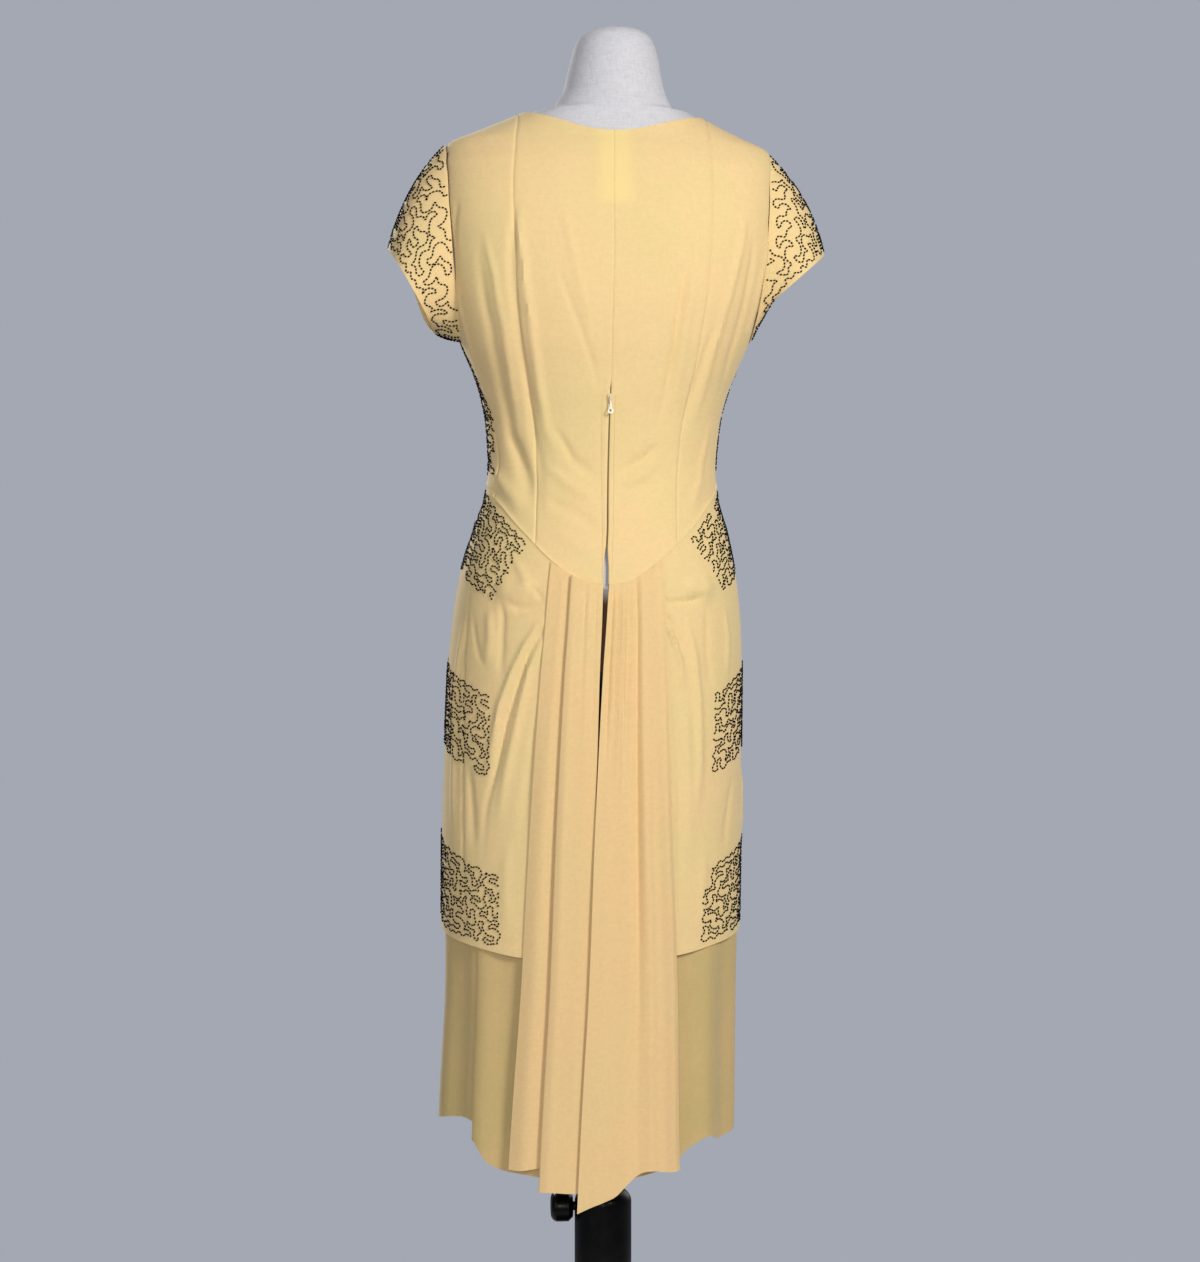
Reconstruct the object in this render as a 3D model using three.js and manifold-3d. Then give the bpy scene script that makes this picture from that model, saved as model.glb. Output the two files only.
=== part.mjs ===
// Beaded crepe cocktail dress on a limbless dress form with a round stand.
// Millimetres, +Z up. The dress faces -Y, its zipped back faces +Y, the wearer's left is +X.
// The origin is the middle of the stand's underside.
import * as THREE from "three";
import { mergeVertices } from "three/addons/utils/BufferGeometryUtils.js";
import Module from "manifold-3d";

const wasm = await Module();
wasm.setup();

// Cloth and clearances
const CLOTH = 1.5;
const SEAM_GAP = 0.4;
const TUNIC_GAP = 1.2;
const SKIRT_DEPTH = 4.2;
const SKIRT_TOP_DEPTH = 3.7;
const FORM_DEPTH = 8.3;
const FORM_SHOULDER_DEPTH = 5;

// Heights of the garment's landmarks
const NECK_CORNER = 1502;
const SHOULDER_POINT = 1469;
const BACK_NECK = 1475;
const FRONT_NECK = 1428;
const FORM_BOTTOM = 888;
const RIGHT_SHOULDER_DROP = 5;
const DROP_REACH = 170;
const DROP_FROM = 1330;
const DROP_TO = 1450;
const ZIP_TOP = 1192;
const ZIP_BOTTOM = 1022;

// Body surface that the cloth follows: one row for each level
const BODY = [
  { height: 300, half: 169.5, back: 123, front: 122, square: 2.15, shift: 22 },
  { height: 385, half: 168.5, back: 122, front: 121, square: 2.15, shift: 20 },
  { height: 450, half: 167.5, back: 121.5, front: 120.5, square: 2.15, shift: 18 },
  { height: 538, half: 166, back: 121, front: 120, square: 2.15, shift: 15 },
  { height: 600, half: 167, back: 121, front: 119.5, square: 2.15, shift: 14 },
  { height: 700, half: 167.5, back: 121, front: 118.5, square: 2.15, shift: 13 },
  { height: 807, half: 166, back: 121, front: 117, square: 2.15, shift: 11 },
  { height: 888, half: 164.5, back: 120, front: 115, square: 2.15, shift: 9 },
  { height: 942, half: 161, back: 118.5, front: 111, square: 2.15, shift: 7 },
  { height: 982, half: 156, back: 115, front: 108, square: 2.15, shift: 6 },
  { height: 1012, half: 149.5, back: 109, front: 104.5, square: 2.15, shift: 5 },
  { height: 1042, half: 141, back: 101, front: 101, square: 2.1, shift: 3 },
  { height: 1076, half: 130.5, back: 91, front: 96.5, square: 2.1, shift: 2 },
  { height: 1112, half: 127, back: 85, front: 94, square: 2.1, shift: 1 },
  { height: 1157, half: 130, back: 88, front: 102, square: 2.15, shift: 0 },
  { height: 1190, half: 137, back: 93, front: 113, square: 2.2, shift: -1 },
  { height: 1216, half: 146, back: 97, front: 123, square: 2.3, shift: -2 },
  { height: 1250, half: 160, back: 103, front: 134, square: 2.4, shift: -2 },
  { height: 1300, half: 175, back: 107, front: 130, square: 2.6, shift: -3 },
  { height: 1350, half: 184, back: 105.5, front: 114, square: 2.75, shift: -4 },
  { height: 1400, half: 188, back: 98, front: 96, square: 2.75, shift: -4 },
  { height: 1440, half: 188, back: 86, front: 80, square: 2.5, shift: -5 },
  { height: 1460, half: 184, back: 77, front: 70, square: 2.2, shift: -6 },
  { height: 1469, half: 178, back: 72, front: 65, square: 2.1, shift: -6 },
  { height: 1480, half: 154, back: 67, front: 60, square: 2.05, shift: -7 },
  { height: 1492, half: 126, back: 63, front: 55, square: 2, shift: -8 },
  { height: 1502, half: 104, back: 60, front: 52, square: 2, shift: -9 },
];

// The form's neck above the shoulders
const NECK = [
  { height: 1508, half: 68, back: 56, front: 49, shift: -11 },
  { height: 1517, half: 63, back: 54, front: 49, shift: -11 },
  { height: 1528, half: 57, back: 52.5, front: 49.5, shift: -12 },
  { height: 1545, half: 53, back: 51, front: 49, shift: -12 },
  { height: 1568, half: 46, back: 46, front: 44, shift: -13 },
  { height: 1585, half: 38, back: 38, front: 36, shift: -13 },
  { height: 1595, half: 26, back: 26, front: 25, shift: -13 },
  { height: 1599, half: 12, back: 12, front: 11.5, shift: -13 },
];
const NECK_TOP = 1600;

// Seams: the pointed hip seam round the body, and the princess seams down the back
const HIP_SEAM = [
  { angle: 0, height: 982 },
  { angle: 9, height: 983.5 },
  { angle: 18, height: 991 },
  { angle: 28, height: 1005 },
  { angle: 48, height: 1039 },
  { angle: 70, height: 1073 },
  { angle: 90, height: 1093 },
  { angle: 120, height: 1084 },
  { angle: 150, height: 1062 },
  { angle: 180, height: 1048 },
];
const PRINCESS = [
  { height: 1020, across: 77 },
  { height: 1076, across: 77 },
  { height: 1143, across: 80 },
  { height: 1188, across: 88 },
  { height: 1244, across: 97 },
  { height: 1300, across: 104 },
  { height: 1412, across: 108 },
  { height: 1502, across: 104 },
];

// Half of the opening between the two halves of the back, at each level
const CENTRE_BACK = [
  { height: 960, half: 3.2 },
  { height: 1000, half: 2.8 },
  { height: 1024, half: 1.1 },
  { height: 1188, half: 0.9 },
  { height: 1200, half: 0.2 },
  { height: 1480, half: 0.2 },
];

// Armholes and cap sleeves
const ARMHOLE = { middle: -2, height: 1360, halfDepth: 57, halfHeight: 109 };
const SIDE_SEAM_ANGLE = { left: 73, right: 81 };
const SLEEVES = [
  { side: "left", sign: 1, tipOut: 243, tipUp: 1351, lowOut: 193, lowUp: 1262 },
  { side: "right", sign: -1, tipOut: 244, tipUp: 1350, lowOut: 174, lowUp: 1288 },
];
const CUFF_HALF_DEPTH = 60;
const CUFF_FRONT_LIFT = 14;
const SLEEVE_BULGE = 11;
const BULGE_OUT = 0.8;
const BULGE_UP = 0.6;
const SLEEVE_INSET = 1.6;

// Tunic and underskirt
const TUNIC_SEAM_ANGLE = 88;
const TUNIC_HEM = [
  { angle: 0, height: 578 },
  { angle: 35, height: 580 },
  { angle: 60, height: 589 },
  { angle: 80, height: 597 },
  { angle: 95, height: 606 },
  { angle: 130, height: 618 },
  { angle: 180, height: 624 },
];
const SKIRT_SEAM_ANGLE = { left: 58, right: 84 };
const SKIRT_HEM = [
  { angle: 0, left: 340, right: 338 },
  { angle: 30, left: 345, right: 345 },
  { angle: 42, left: 347, right: 353 },
  { angle: 50, left: 354, right: 369 },
  { angle: 58, left: 378, right: 377 },
  { angle: 68, left: 383, right: 369 },
  { angle: 80, left: 385, right: 374 },
  { angle: 92, left: 386, right: 386 },
  { angle: 180, left: 388, right: 388 },
];

// Soft folds that fan out over the tunic's back from the corners of the pleated panel
const TUNIC_FOLDS = [
  { angle: 31, height: 985, toAngle: 66, toHeight: 955, width: 15, rise: 5 },
  { angle: 32, height: 955, toAngle: 58, toHeight: 860, width: 12, rise: 5 },
  { angle: 34, height: 925, toAngle: 50, toHeight: 745, width: 11, rise: 4.5 },
  { angle: 60, height: 930, toAngle: 66, toHeight: 700, width: 16, rise: 3.5 },
];
// Hanging folds of the underskirt, deepest at the hem
const SKIRT_FOLDS = [
  { angle: 22, width: 9, rise: 2.5 },
  { angle: 44, width: 8, rise: -4 },
  { angle: 56, width: 6, rise: 3.5 },
  { angle: 68, width: 6, rise: -4 },
  { angle: 79, width: 6, rise: 4 },
  { angle: 108, width: 9, rise: 4 },
  { angle: 132, width: 8, rise: -3 },
  { angle: 157, width: 10, rise: 4 },
];
const FRONT_HEM_LIFT = 19;
const FOLDS_START = 860;
const FOLDS_FULL = 420;

// Pleated back panel: each row is one point of the cross-section, from the outer edge to the slit.
// across is measured from the centre back, rise is out from the body.
const PLEATS_LEFT = [
  { top: 58, hem: 89, topRise: 2.6, hemRise: 2.6, hemHeight: 352 },
  { top: 50, hem: 76, topRise: 2.4, hemRise: 5.5, hemHeight: 352 },
  { top: 42, hem: 64, topRise: 2.4, hemRise: 4.4, hemHeight: 354 },
  { top: 31, hem: 49, topRise: 2.4, hemRise: 2.6, hemHeight: 356 },
  { top: 27, hem: 42, topRise: 2.6, hemRise: 2.6, hemHeight: 352 },
  { top: 26, hem: 40.5, topRise: 3.9, hemRise: 4.4, hemHeight: 348 },
  { top: 28, hem: 43, topRise: 5, hemRise: 5.6, hemHeight: 342 },
  { top: 35, hem: 54, topRise: 5.3, hemRise: 7.4, hemHeight: 333 },
  { top: 36.5, hem: 56, topRise: 6.4, hemRise: 9, hemHeight: 331 },
  { top: 34, hem: 53, topRise: 7.4, hemRise: 10.2, hemHeight: 331 },
  { top: 25, hem: 42, topRise: 7.4, hemRise: 10.2, hemHeight: 331 },
  { top: 14, hem: 26, topRise: 7.2, hemRise: 8.8, hemHeight: 330 },
  { top: 3.2, hem: 8, topRise: 7, hemRise: 7.8, hemHeight: 330 },
];
const PLEATS_RIGHT = [
  { top: -60, hem: -95, topRise: 2.6, hemRise: 2.6, hemHeight: 347 },
  { top: -52, hem: -85, topRise: 2.6, hemRise: 6.5, hemHeight: 347 },
  { top: -44, hem: -74, topRise: 4.4, hemRise: 8.5, hemHeight: 349 },
  { top: -39, hem: -63, topRise: 5.6, hemRise: 10.5, hemHeight: 351 },
  { top: -35, hem: -54, topRise: 4.6, hemRise: 7.5, hemHeight: 350 },
  { top: -31, hem: -46, topRise: 3.4, hemRise: 4.8, hemHeight: 345 },
  { top: -26, hem: -36, topRise: 4.4, hemRise: 5.5, hemHeight: 336 },
  { top: -21, hem: -25, topRise: 5.4, hemRise: 8.5, hemHeight: 326 },
  { top: -15, hem: -13, topRise: 5, hemRise: 10.5, hemHeight: 321 },
  { top: -9, hem: 1, topRise: 5.4, hemRise: 12, hemHeight: 316 },
  { top: -3.2, hem: 16, topRise: 6.5, hemRise: 12.6, hemHeight: 309 },
];
const DRAPE_TOP_GAP = 1.2;

// Zip
const TAPE = { width: 13, depth: 1.9, thick: 1 };
const SLIDER = { width: 6.4, height: 9.5, deep: 2.6, bridge: 2.2, bridgeOut: 2.6 };
const PULL = { width: 5, length: 17, thick: 1, bar: 1, window: 3, hole: 1.3 };

// Stand
const POLE = { radius: 12.5, bottom: 145 };
const HUB = { radius: 32, top: 300, bottom: 18.3, bore: 12.9, floor: 40, round: 14 };
const KNOB = { height: 281, radius: 17, from: 34.3, to: 59, stem: 5, hole: 5.4 };
const BASE = { radius: 178, thick: 18, rim: 7 };
const ROUND_SIDES = 28;

const COLOURS = {
  crepe: 0xeed498,
  drape: 0xeed096,
  skirt: 0xdccb8c,
  form: 0xcdcdd2,
  stand: 0x0b0b0c,
  metal: 0xe8e6e0,
};

const part = new THREE.Group();

function addMesh(name, geometry, colour, roughness = 0.85, metalness = 0) {
  const material = new THREE.MeshStandardMaterial({ color: colour, roughness, metalness });
  const mesh = new THREE.Mesh(geometry, material);
  mesh.name = name;
  part.add(mesh);
  return mesh;
}

const mix = THREE.MathUtils.lerp;
const smooth = THREE.MathUtils.smoothstep;
const radians = THREE.MathUtils.degToRad;

// A smooth curve through one column of a table, without overshoot between its rows
function curve(rows, key, column) {
  const x = rows.map((row) => row[key]);
  const y = rows.map((row) => row[column]);
  const last = x.length - 1;
  const step = x.slice(1).map((value, i) => (y[i + 1] - y[i]) / (value - x[i]));
  const slope = x.map((_, i) => {
    if (i === 0) return step[0];
    if (i === last) return step[last - 1];
    const product = step[i - 1] * step[i];
    return product <= 0 ? 0 : (2 * product) / (step[i - 1] + step[i]);
  });
  return (at) => {
    if (at <= x[0]) return y[0];
    if (at >= x[last]) return y[last];
    let i = 0;
    while (at > x[i + 1]) i += 1;
    const width = x[i + 1] - x[i];
    const t = (at - x[i]) / width;
    const from = (1 + 2 * t) * (1 - t) * (1 - t) * y[i] + t * (1 - t) * (1 - t) * width * slope[i];
    const to = t * t * (3 - 2 * t) * y[i + 1] + t * t * (t - 1) * width * slope[i + 1];
    return from + to;
  };
}

const bodyAt = {};
for (const column of ["half", "back", "front", "square", "shift"]) {
  bodyAt[column] = curve(BODY, "height", column);
}
const hipSeamAt = curve(HIP_SEAM, "angle", "height");
const princessAt = curve(PRINCESS, "height", "across");
const centreBackAt = curve(CENTRE_BACK, "height", "half");
const tunicHemAt = curve(TUNIC_HEM, "angle", "height");
const skirtHem = {
  left: curve(SKIRT_HEM, "angle", "left"),
  right: curve(SKIRT_HEM, "angle", "right"),
};

// Angles run from 0 at the centre back through 90 at the wearer's left side to 180 at the front.
// The same angle on the wearer's right is negative, or counts on from 180 to 360.
const fold = (angle) => Math.abs(angle > 180 ? 360 - angle : angle);
const skirtHemAt = (angle) => {
  const onRight = angle < 0 || angle > 180;
  return skirtHem[onRight ? "right" : "left"](fold(angle));
};

function bodySurface(angle, height) {
  const sine = Math.sin(radians(angle));
  const cosine = Math.cos(radians(angle));
  const power = bodyAt.square(height);
  const depth = cosine >= 0 ? bodyAt.back(height) : bodyAt.front(height);
  const sum = Math.abs(sine / bodyAt.half(height)) ** power + Math.abs(cosine / depth) ** power;
  const radius = sum ** (-1 / power);
  const x = radius * sine;
  const drop = RIGHT_SHOULDER_DROP * smooth(-x, 0, DROP_REACH) * smooth(height, DROP_FROM, DROP_TO);
  return new THREE.Vector3(bodyAt.shift(height) + x, radius * cosine, height - drop);
}

// A point on the body's surface, moved out along the surface's normal
function bodyPoint(angle, height, out) {
  const dAngle = 0.5;
  const dHeight = 1;
  const around = bodySurface(angle + dAngle, height).sub(bodySurface(angle - dAngle, height));
  const up = bodySurface(angle, height + dHeight).sub(bodySurface(angle, height - dHeight));
  const normal = up.cross(around).normalize();
  return bodySurface(angle, height).addScaledVector(normal, out);
}

// The angle between from and to where test(point) changes sign
function findAngle(from, to, test) {
  let low = from;
  let high = to;
  const sign = Math.sign(test(low));
  for (let i = 0; i < 30; i += 1) {
    const middle = (low + high) / 2;
    if (Math.sign(test(middle)) === sign) low = middle;
    else high = middle;
  }
  return (low + high) / 2;
}

// A distance across is kept just inside the body's half width
const WIDEST = 0.9999;

function angleAcross(height, across) {
  const reach = Math.min(Math.abs(across), bodyAt.half(height) * WIDEST);
  const shift = bodyAt.shift(height);
  const found = findAngle(0, 90, (angle) => bodySurface(angle, height).x - shift - reach);
  return Math.sign(across) * found;
}

function angleAtDepth(height, depth) {
  return findAngle(0, 180, (angle) => bodySurface(angle, height).y - depth);
}

// The armhole's edge, front or back, at a level
function armholeAngle(height, front) {
  const up = (height - ARMHOLE.height) / ARMHOLE.halfHeight;
  const reach = ARMHOLE.halfDepth * Math.sqrt(Math.max(0, 1 - up * up));
  return angleAtDepth(height, ARMHOLE.middle + (front ? -reach : reach));
}

// Cloth walls

// A closed wall between an outer and an inner grid of points; a tube's last column joins its first
function wallGeometry(outer, inner, tube = false) {
  const rows = outer.length;
  const columns = outer[0].length;
  const points = [...outer.flat(), ...inner.flat()];
  const innerStart = rows * columns;
  const faces = [];
  const quad = (a, b, c, d) => faces.push(a, b, c, a, c, d);
  const at = (row, column) => row * columns + (column % columns);
  const spans = tube ? columns : columns - 1;
  for (let row = 0; row < rows - 1; row += 1) {
    for (let column = 0; column < spans; column += 1) {
      const a = at(row, column);
      const b = at(row, column + 1);
      const c = at(row + 1, column + 1);
      const d = at(row + 1, column);
      quad(a, b, c, d);
      quad(innerStart + d, innerStart + c, innerStart + b, innerStart + a);
    }
  }
  const rim = (a, b) => quad(b, a, innerStart + a, innerStart + b);
  for (let column = 0; column < spans; column += 1) {
    rim(at(0, column), at(0, column + 1));
    rim(at(rows - 1, column + 1), at(rows - 1, column));
  }
  for (let row = 0; row < rows - 1 && !tube; row += 1) {
    rim(at(row + 1, 0), at(row, 0));
    rim(at(row, columns - 1), at(row + 1, columns - 1));
  }
  return facingOut(points, faces);
}

// An indexed geometry whose faces point out
function facingOut(points, faces) {
  let volume = 0;
  const across = new THREE.Vector3();
  for (let i = 0; i < faces.length; i += 3) {
    const [a, b, c] = [points[faces[i]], points[faces[i + 1]], points[faces[i + 2]]];
    volume += a.dot(across.crossVectors(b, c));
  }
  if (volume < 0) faces.reverse();
  const geometry = new THREE.BufferGeometry().setFromPoints(points);
  geometry.setIndex(faces);
  geometry.computeVertexNormals();
  return geometry;
}

// Points between four edges, each a function from 0..1 to { angle, height }.
// The bend of the lower and the upper edge dies away with these powers of the distance from them.
function patch(edges, columns, rows, lowerPower = 1, upperPower = 1) {
  const { bottom, top, start, end } = edges;
  const bend = (edge, s, key) => edge(s)[key] - mix(edge(0)[key], edge(1)[key], s);
  const blend = (s, t, key) => {
    const lower = (1 - t) ** lowerPower * bend(bottom, s, key);
    const upper = t ** upperPower * bend(top, s, key);
    return mix(start(t)[key], end(t)[key], s) + lower + upper;
  };
  const grid = [];
  for (let row = 0; row <= rows; row += 1) {
    const line = [];
    for (let column = 0; column <= columns; column += 1) {
      const s = column / columns;
      const t = row / rows;
      line.push({ angle: blend(s, t, "angle"), height: blend(s, t, "height") });
    }
    grid.push(line);
  }
  return grid;
}

// A cloth wall whose outer face lies out from the body by out(angle, height)
function clothWall(grid, out, thick = CLOTH) {
  const face = (inset) =>
    grid.map((line) =>
      line.map(({ angle, height }) => bodyPoint(angle, height, out(angle, height) - inset)),
    );
  return wallGeometry(face(0), face(thick));
}

// Moves an edge sideways by part of the seam gap
function apart(edge, distance) {
  return (t) => {
    const { angle, height } = edge(t);
    const point = bodySurface(angle, height);
    const radius = Math.hypot(point.x - bodyAt.shift(height), point.y);
    return { angle: angle + THREE.MathUtils.radToDeg(distance / radius), height };
  };
}

const mirrored = (edge) => (t) => ({ angle: -edge(t).angle, height: edge(t).height });

// The level where an edge that runs up the body meets the hip seam
function meetHipSeam(angleAt) {
  let height = 1030;
  for (let i = 0; i < 12; i += 1) {
    height = mix(height, hipSeamAt(fold(angleAt(height))), 0.5);
  }
  return height;
}

// Bodice

const princessAngle = (height, gap = 0) => {
  const across = Math.min(princessAt(height), bodyAt.half(height) * WIDEST);
  return height >= NECK_CORNER - 0.01 && gap === 0 ? 90 : angleAcross(height, across - gap);
};
const centreAngle = (height) => angleAcross(height, centreBackAt(height));
// The neckline rises from its middle to the neck corners, with these powers of the angle's sine
const BACK_NECK_POWER = 2.3;
const FRONT_NECK_POWER = 1.7;
const backNeckAt = (angle) => {
  return BACK_NECK + (NECK_CORNER - BACK_NECK) * Math.sin(radians(fold(angle))) ** BACK_NECK_POWER;
};
const frontNeckAt = (angle) => {
  return FRONT_NECK + (NECK_CORNER - FRONT_NECK) * Math.sin(radians(fold(angle))) ** FRONT_NECK_POWER;
};

// Share of the side edge that lies below the armhole
const SIDE_SHARE = 0.375;
const UNDERARM = ARMHOLE.height - ARMHOLE.halfHeight;

// The side edge of a bodice panel: side seam, then the armhole's front or back edge
function sideEdge(seamAngle, front) {
  const foot = hipSeamAt(seamAngle) + SEAM_GAP;
  return (t) => {
    if (t <= SIDE_SHARE) {
      const up = t / SIDE_SHARE;
      const height = mix(foot, UNDERARM, up);
      return { angle: mix(seamAngle, 90, smooth(up, 0.2, 1)), height };
    }
    const turn = Math.PI * ((t - SIDE_SHARE) / (1 - SIDE_SHARE));
    const height = ARMHOLE.height - ARMHOLE.halfHeight * Math.cos(turn);
    const angle = t >= 1 ? 90 : armholeAngle(height, front);
    return { angle, height: Math.min(height, SHOULDER_POINT) };
  };
}

const princessFoot = meetHipSeam(princessAngle);
// Rows come closer together towards the shoulders
const CROWDING = 1.35;
const climb = (t) => 1 - (1 - t) ** CROWDING;
const princessEdge = (t) => {
  const height = mix(princessFoot + SEAM_GAP, NECK_CORNER, climb(t));
  return { angle: princessAngle(height), height };
};
// The centre panels' side of the same seam
const princessInner = (t) => {
  const height = mix(princessFoot + SEAM_GAP, NECK_CORNER, climb(t));
  return { angle: princessAngle(height, 2 * SEAM_GAP), height };
};
const centreFoot = hipSeamAt(0) + SEAM_GAP;
const centreEdge = (t) => {
  const height = mix(centreFoot, BACK_NECK, climb(t));
  return { angle: centreAngle(height), height };
};
const hipSeamEdge = (fromAngle, toAngle) => (s) => {
  const angle = mix(fromAngle, toAngle, s);
  return { angle, height: hipSeamAt(fold(angle)) + SEAM_GAP };
};
const shoulderEdge = (s) => ({ angle: 90, height: mix(NECK_CORNER, SHOULDER_POINT, s) });

const flat = () => 0;
const BODICE_ROWS = 16;
// Powers with which the bend of a bodice panel's lower and upper edge dies away
const LOWER_BEND = 2;
const UPPER_BEND = 3;
const bodiceWall = (edges, columns) => {
  return clothWall(patch(edges, columns, BODICE_ROWS, LOWER_BEND, UPPER_BEND), flat);
};

for (const side of ["left", "right"]) {
  const turn = side === "left" ? (edge) => edge : mirrored;
  const seam = SIDE_SEAM_ANGLE[side];
  const centre = {
    bottom: turn(hipSeamEdge(centreAngle(centreFoot), princessInner(0).angle)),
    top: turn((s) => {
      const angle = mix(centreEdge(1).angle, princessInner(1).angle, s);
      return { angle, height: mix(backNeckAt(angle), NECK_CORNER, smooth(s, 0.8, 1)) };
    }),
    start: turn(centreEdge),
    end: turn(princessInner),
  };
  const flank = {
    bottom: turn(hipSeamEdge(princessEdge(0).angle, seam)),
    top: turn(shoulderEdge),
    start: turn(princessEdge),
    end: turn(sideEdge(seam, false)),
  };
  addMesh(`bodice_back_centre_${side}`, bodiceWall(centre, 7), COLOURS.crepe);
  addMesh(`bodice_back_side_${side}`, bodiceWall(flank, 6), COLOURS.crepe);
}

{
  const leftEdge = apart(sideEdge(SIDE_SEAM_ANGLE.left, true), SEAM_GAP);
  const rightSide = apart(sideEdge(SIDE_SEAM_ANGLE.right, true), SEAM_GAP);
  const rightEdge = (t) => ({ angle: 360 - rightSide(t).angle, height: rightSide(t).height });
  // The shoulder seams take this share of the upper edge at each end
  const share = 3 / 20;
  const shoulder = 90.2;
  const front = {
    bottom: (s) => {
      const angle = mix(SIDE_SEAM_ANGLE.left, 360 - SIDE_SEAM_ANGLE.right, s);
      return { angle, height: hipSeamAt(fold(angle)) + SEAM_GAP };
    },
    top: (s) => {
      if (s < share) return { angle: shoulder, height: mix(SHOULDER_POINT, NECK_CORNER, s / share) };
      if (s > 1 - share) {
        const height = mix(SHOULDER_POINT, NECK_CORNER, (1 - s) / share);
        return { angle: 360 - shoulder, height };
      }
      const angle = mix(shoulder, 360 - shoulder, (s - share) / (1 - 2 * share));
      return { angle, height: frontNeckAt(angle) };
    },
    start: leftEdge,
    end: rightEdge,
  };
  addMesh("bodice_front", bodiceWall(front, 20), COLOURS.crepe);
}

// Cap sleeves: open tubes from the armhole to a slanted cuff

for (const { side, sign, tipOut, tipUp, lowOut, lowUp } of SLEEVES) {
  const columns = 20;
  const rows = 5;
  const cuffMiddle = new THREE.Vector3((tipOut + lowOut) / 2, ARMHOLE.middle, (tipUp + lowUp) / 2);
  const cuffUp = new THREE.Vector3((tipOut - lowOut) / 2, 0, (tipUp - lowUp) / 2);
  const surface = (turn, t) => {
    const height = ARMHOLE.height + (ARMHOLE.halfHeight - SLEEVE_INSET) * Math.sin(turn);
    const depth = ARMHOLE.middle + (ARMHOLE.halfDepth - SLEEVE_INSET) * Math.cos(turn);
    const seam = bodySurface(sign * angleAtDepth(height, depth), height);
    seam.x = sign * (seam.x - bodyAt.shift(height));
    const cuff = cuffMiddle.clone().addScaledVector(cuffUp, Math.sin(turn));
    cuff.y += CUFF_HALF_DEPTH * Math.cos(turn);
    cuff.z += CUFF_FRONT_LIFT * Math.max(0, -Math.cos(turn)) * smooth(Math.sin(turn), -0.7, 0);
    const swell = SLEEVE_BULGE * 4 * t * (1 - t) * (0.1 + 0.9 * Math.max(0, Math.sin(turn)));
    const point = seam.lerp(cuff, t);
    point.x += swell * BULGE_OUT;
    point.z += swell * BULGE_UP * Math.sin(turn);
    point.x = sign * point.x + bodyAt.shift(ARMHOLE.height);
    return point;
  };
  const face = (depth) => {
    const grid = [];
    for (let row = 0; row <= rows; row += 1) {
      const line = [];
      for (let column = 0; column < columns; column += 1) {
        const turn = 2 * Math.PI * (column / columns - 0.25);
        const t = row / rows;
        const around = surface(turn + 0.02, t).sub(surface(turn - 0.02, t));
        const along = surface(turn, Math.min(1, t + 0.02)).sub(surface(turn, Math.max(0, t - 0.02)));
        const normal = along.cross(around).normalize().multiplyScalar(-sign);
        line.push(surface(turn, t).addScaledVector(normal, -depth));
      }
      grid.push(line);
    }
    return grid;
  };
  addMesh(`sleeve_${side}`, wallGeometry(face(0), face(CLOTH), true), COLOURS.crepe);
}

// Tunic: front from side to side, and two back panels that end under the pleated panel

// Power of the way down with which the pleats spread apart
const PLEAT_SPREAD = 0.8;
const DRAPE_CORNER_ANGLE = 28;
const drapeOuter = (height, rows) => {
  const top = hipSeamAt(DRAPE_CORNER_ANGLE);
  const hem = rows[0].hemHeight;
  const t = THREE.MathUtils.clamp((top - height) / (top - hem), 0, 1);
  return Math.abs(mix(rows[0].top, rows[0].hem, t ** PLEAT_SPREAD));
};
// How far the tunic goes in under the pleated panel, and the angle at its inner hem corner
const TUNIC_TUCK = 9;
const TUNIC_CORNER_ANGLE = 35;
// No ridge stands out under the pleated panel, within these angles from the tunic's inner edge
const CLEAR_FROM = 3;
const CLEAR_TO = 7;

// Soft ridges along straight lines in angle and height, highest near the line's start
const RIDGE_END = 0.12;
const RIDGE_POWER = 0.7;

function tunicRelief(angle, height) {
  const at = fold(angle);
  let rise = 0;
  for (const ridge of TUNIC_FOLDS) {
    const reach = bodyAt.half(height) * radians(1);
    const dx = (ridge.toAngle - ridge.angle) * reach;
    const dz = ridge.toHeight - ridge.height;
    const px = (at - ridge.angle) * reach;
    const pz = height - ridge.height;
    const along = THREE.MathUtils.clamp((px * dx + pz * dz) / (dx * dx + dz * dz), 0, 1);
    const off = Math.hypot(px - along * dx, pz - along * dz);
    const fade = Math.sin(Math.PI * mix(1, RIDGE_END, along)) ** RIDGE_POWER;
    rise = Math.max(rise, ridge.rise * fade * Math.exp(-((off / ridge.width) ** 2)));
  }
  return rise;
}

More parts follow.
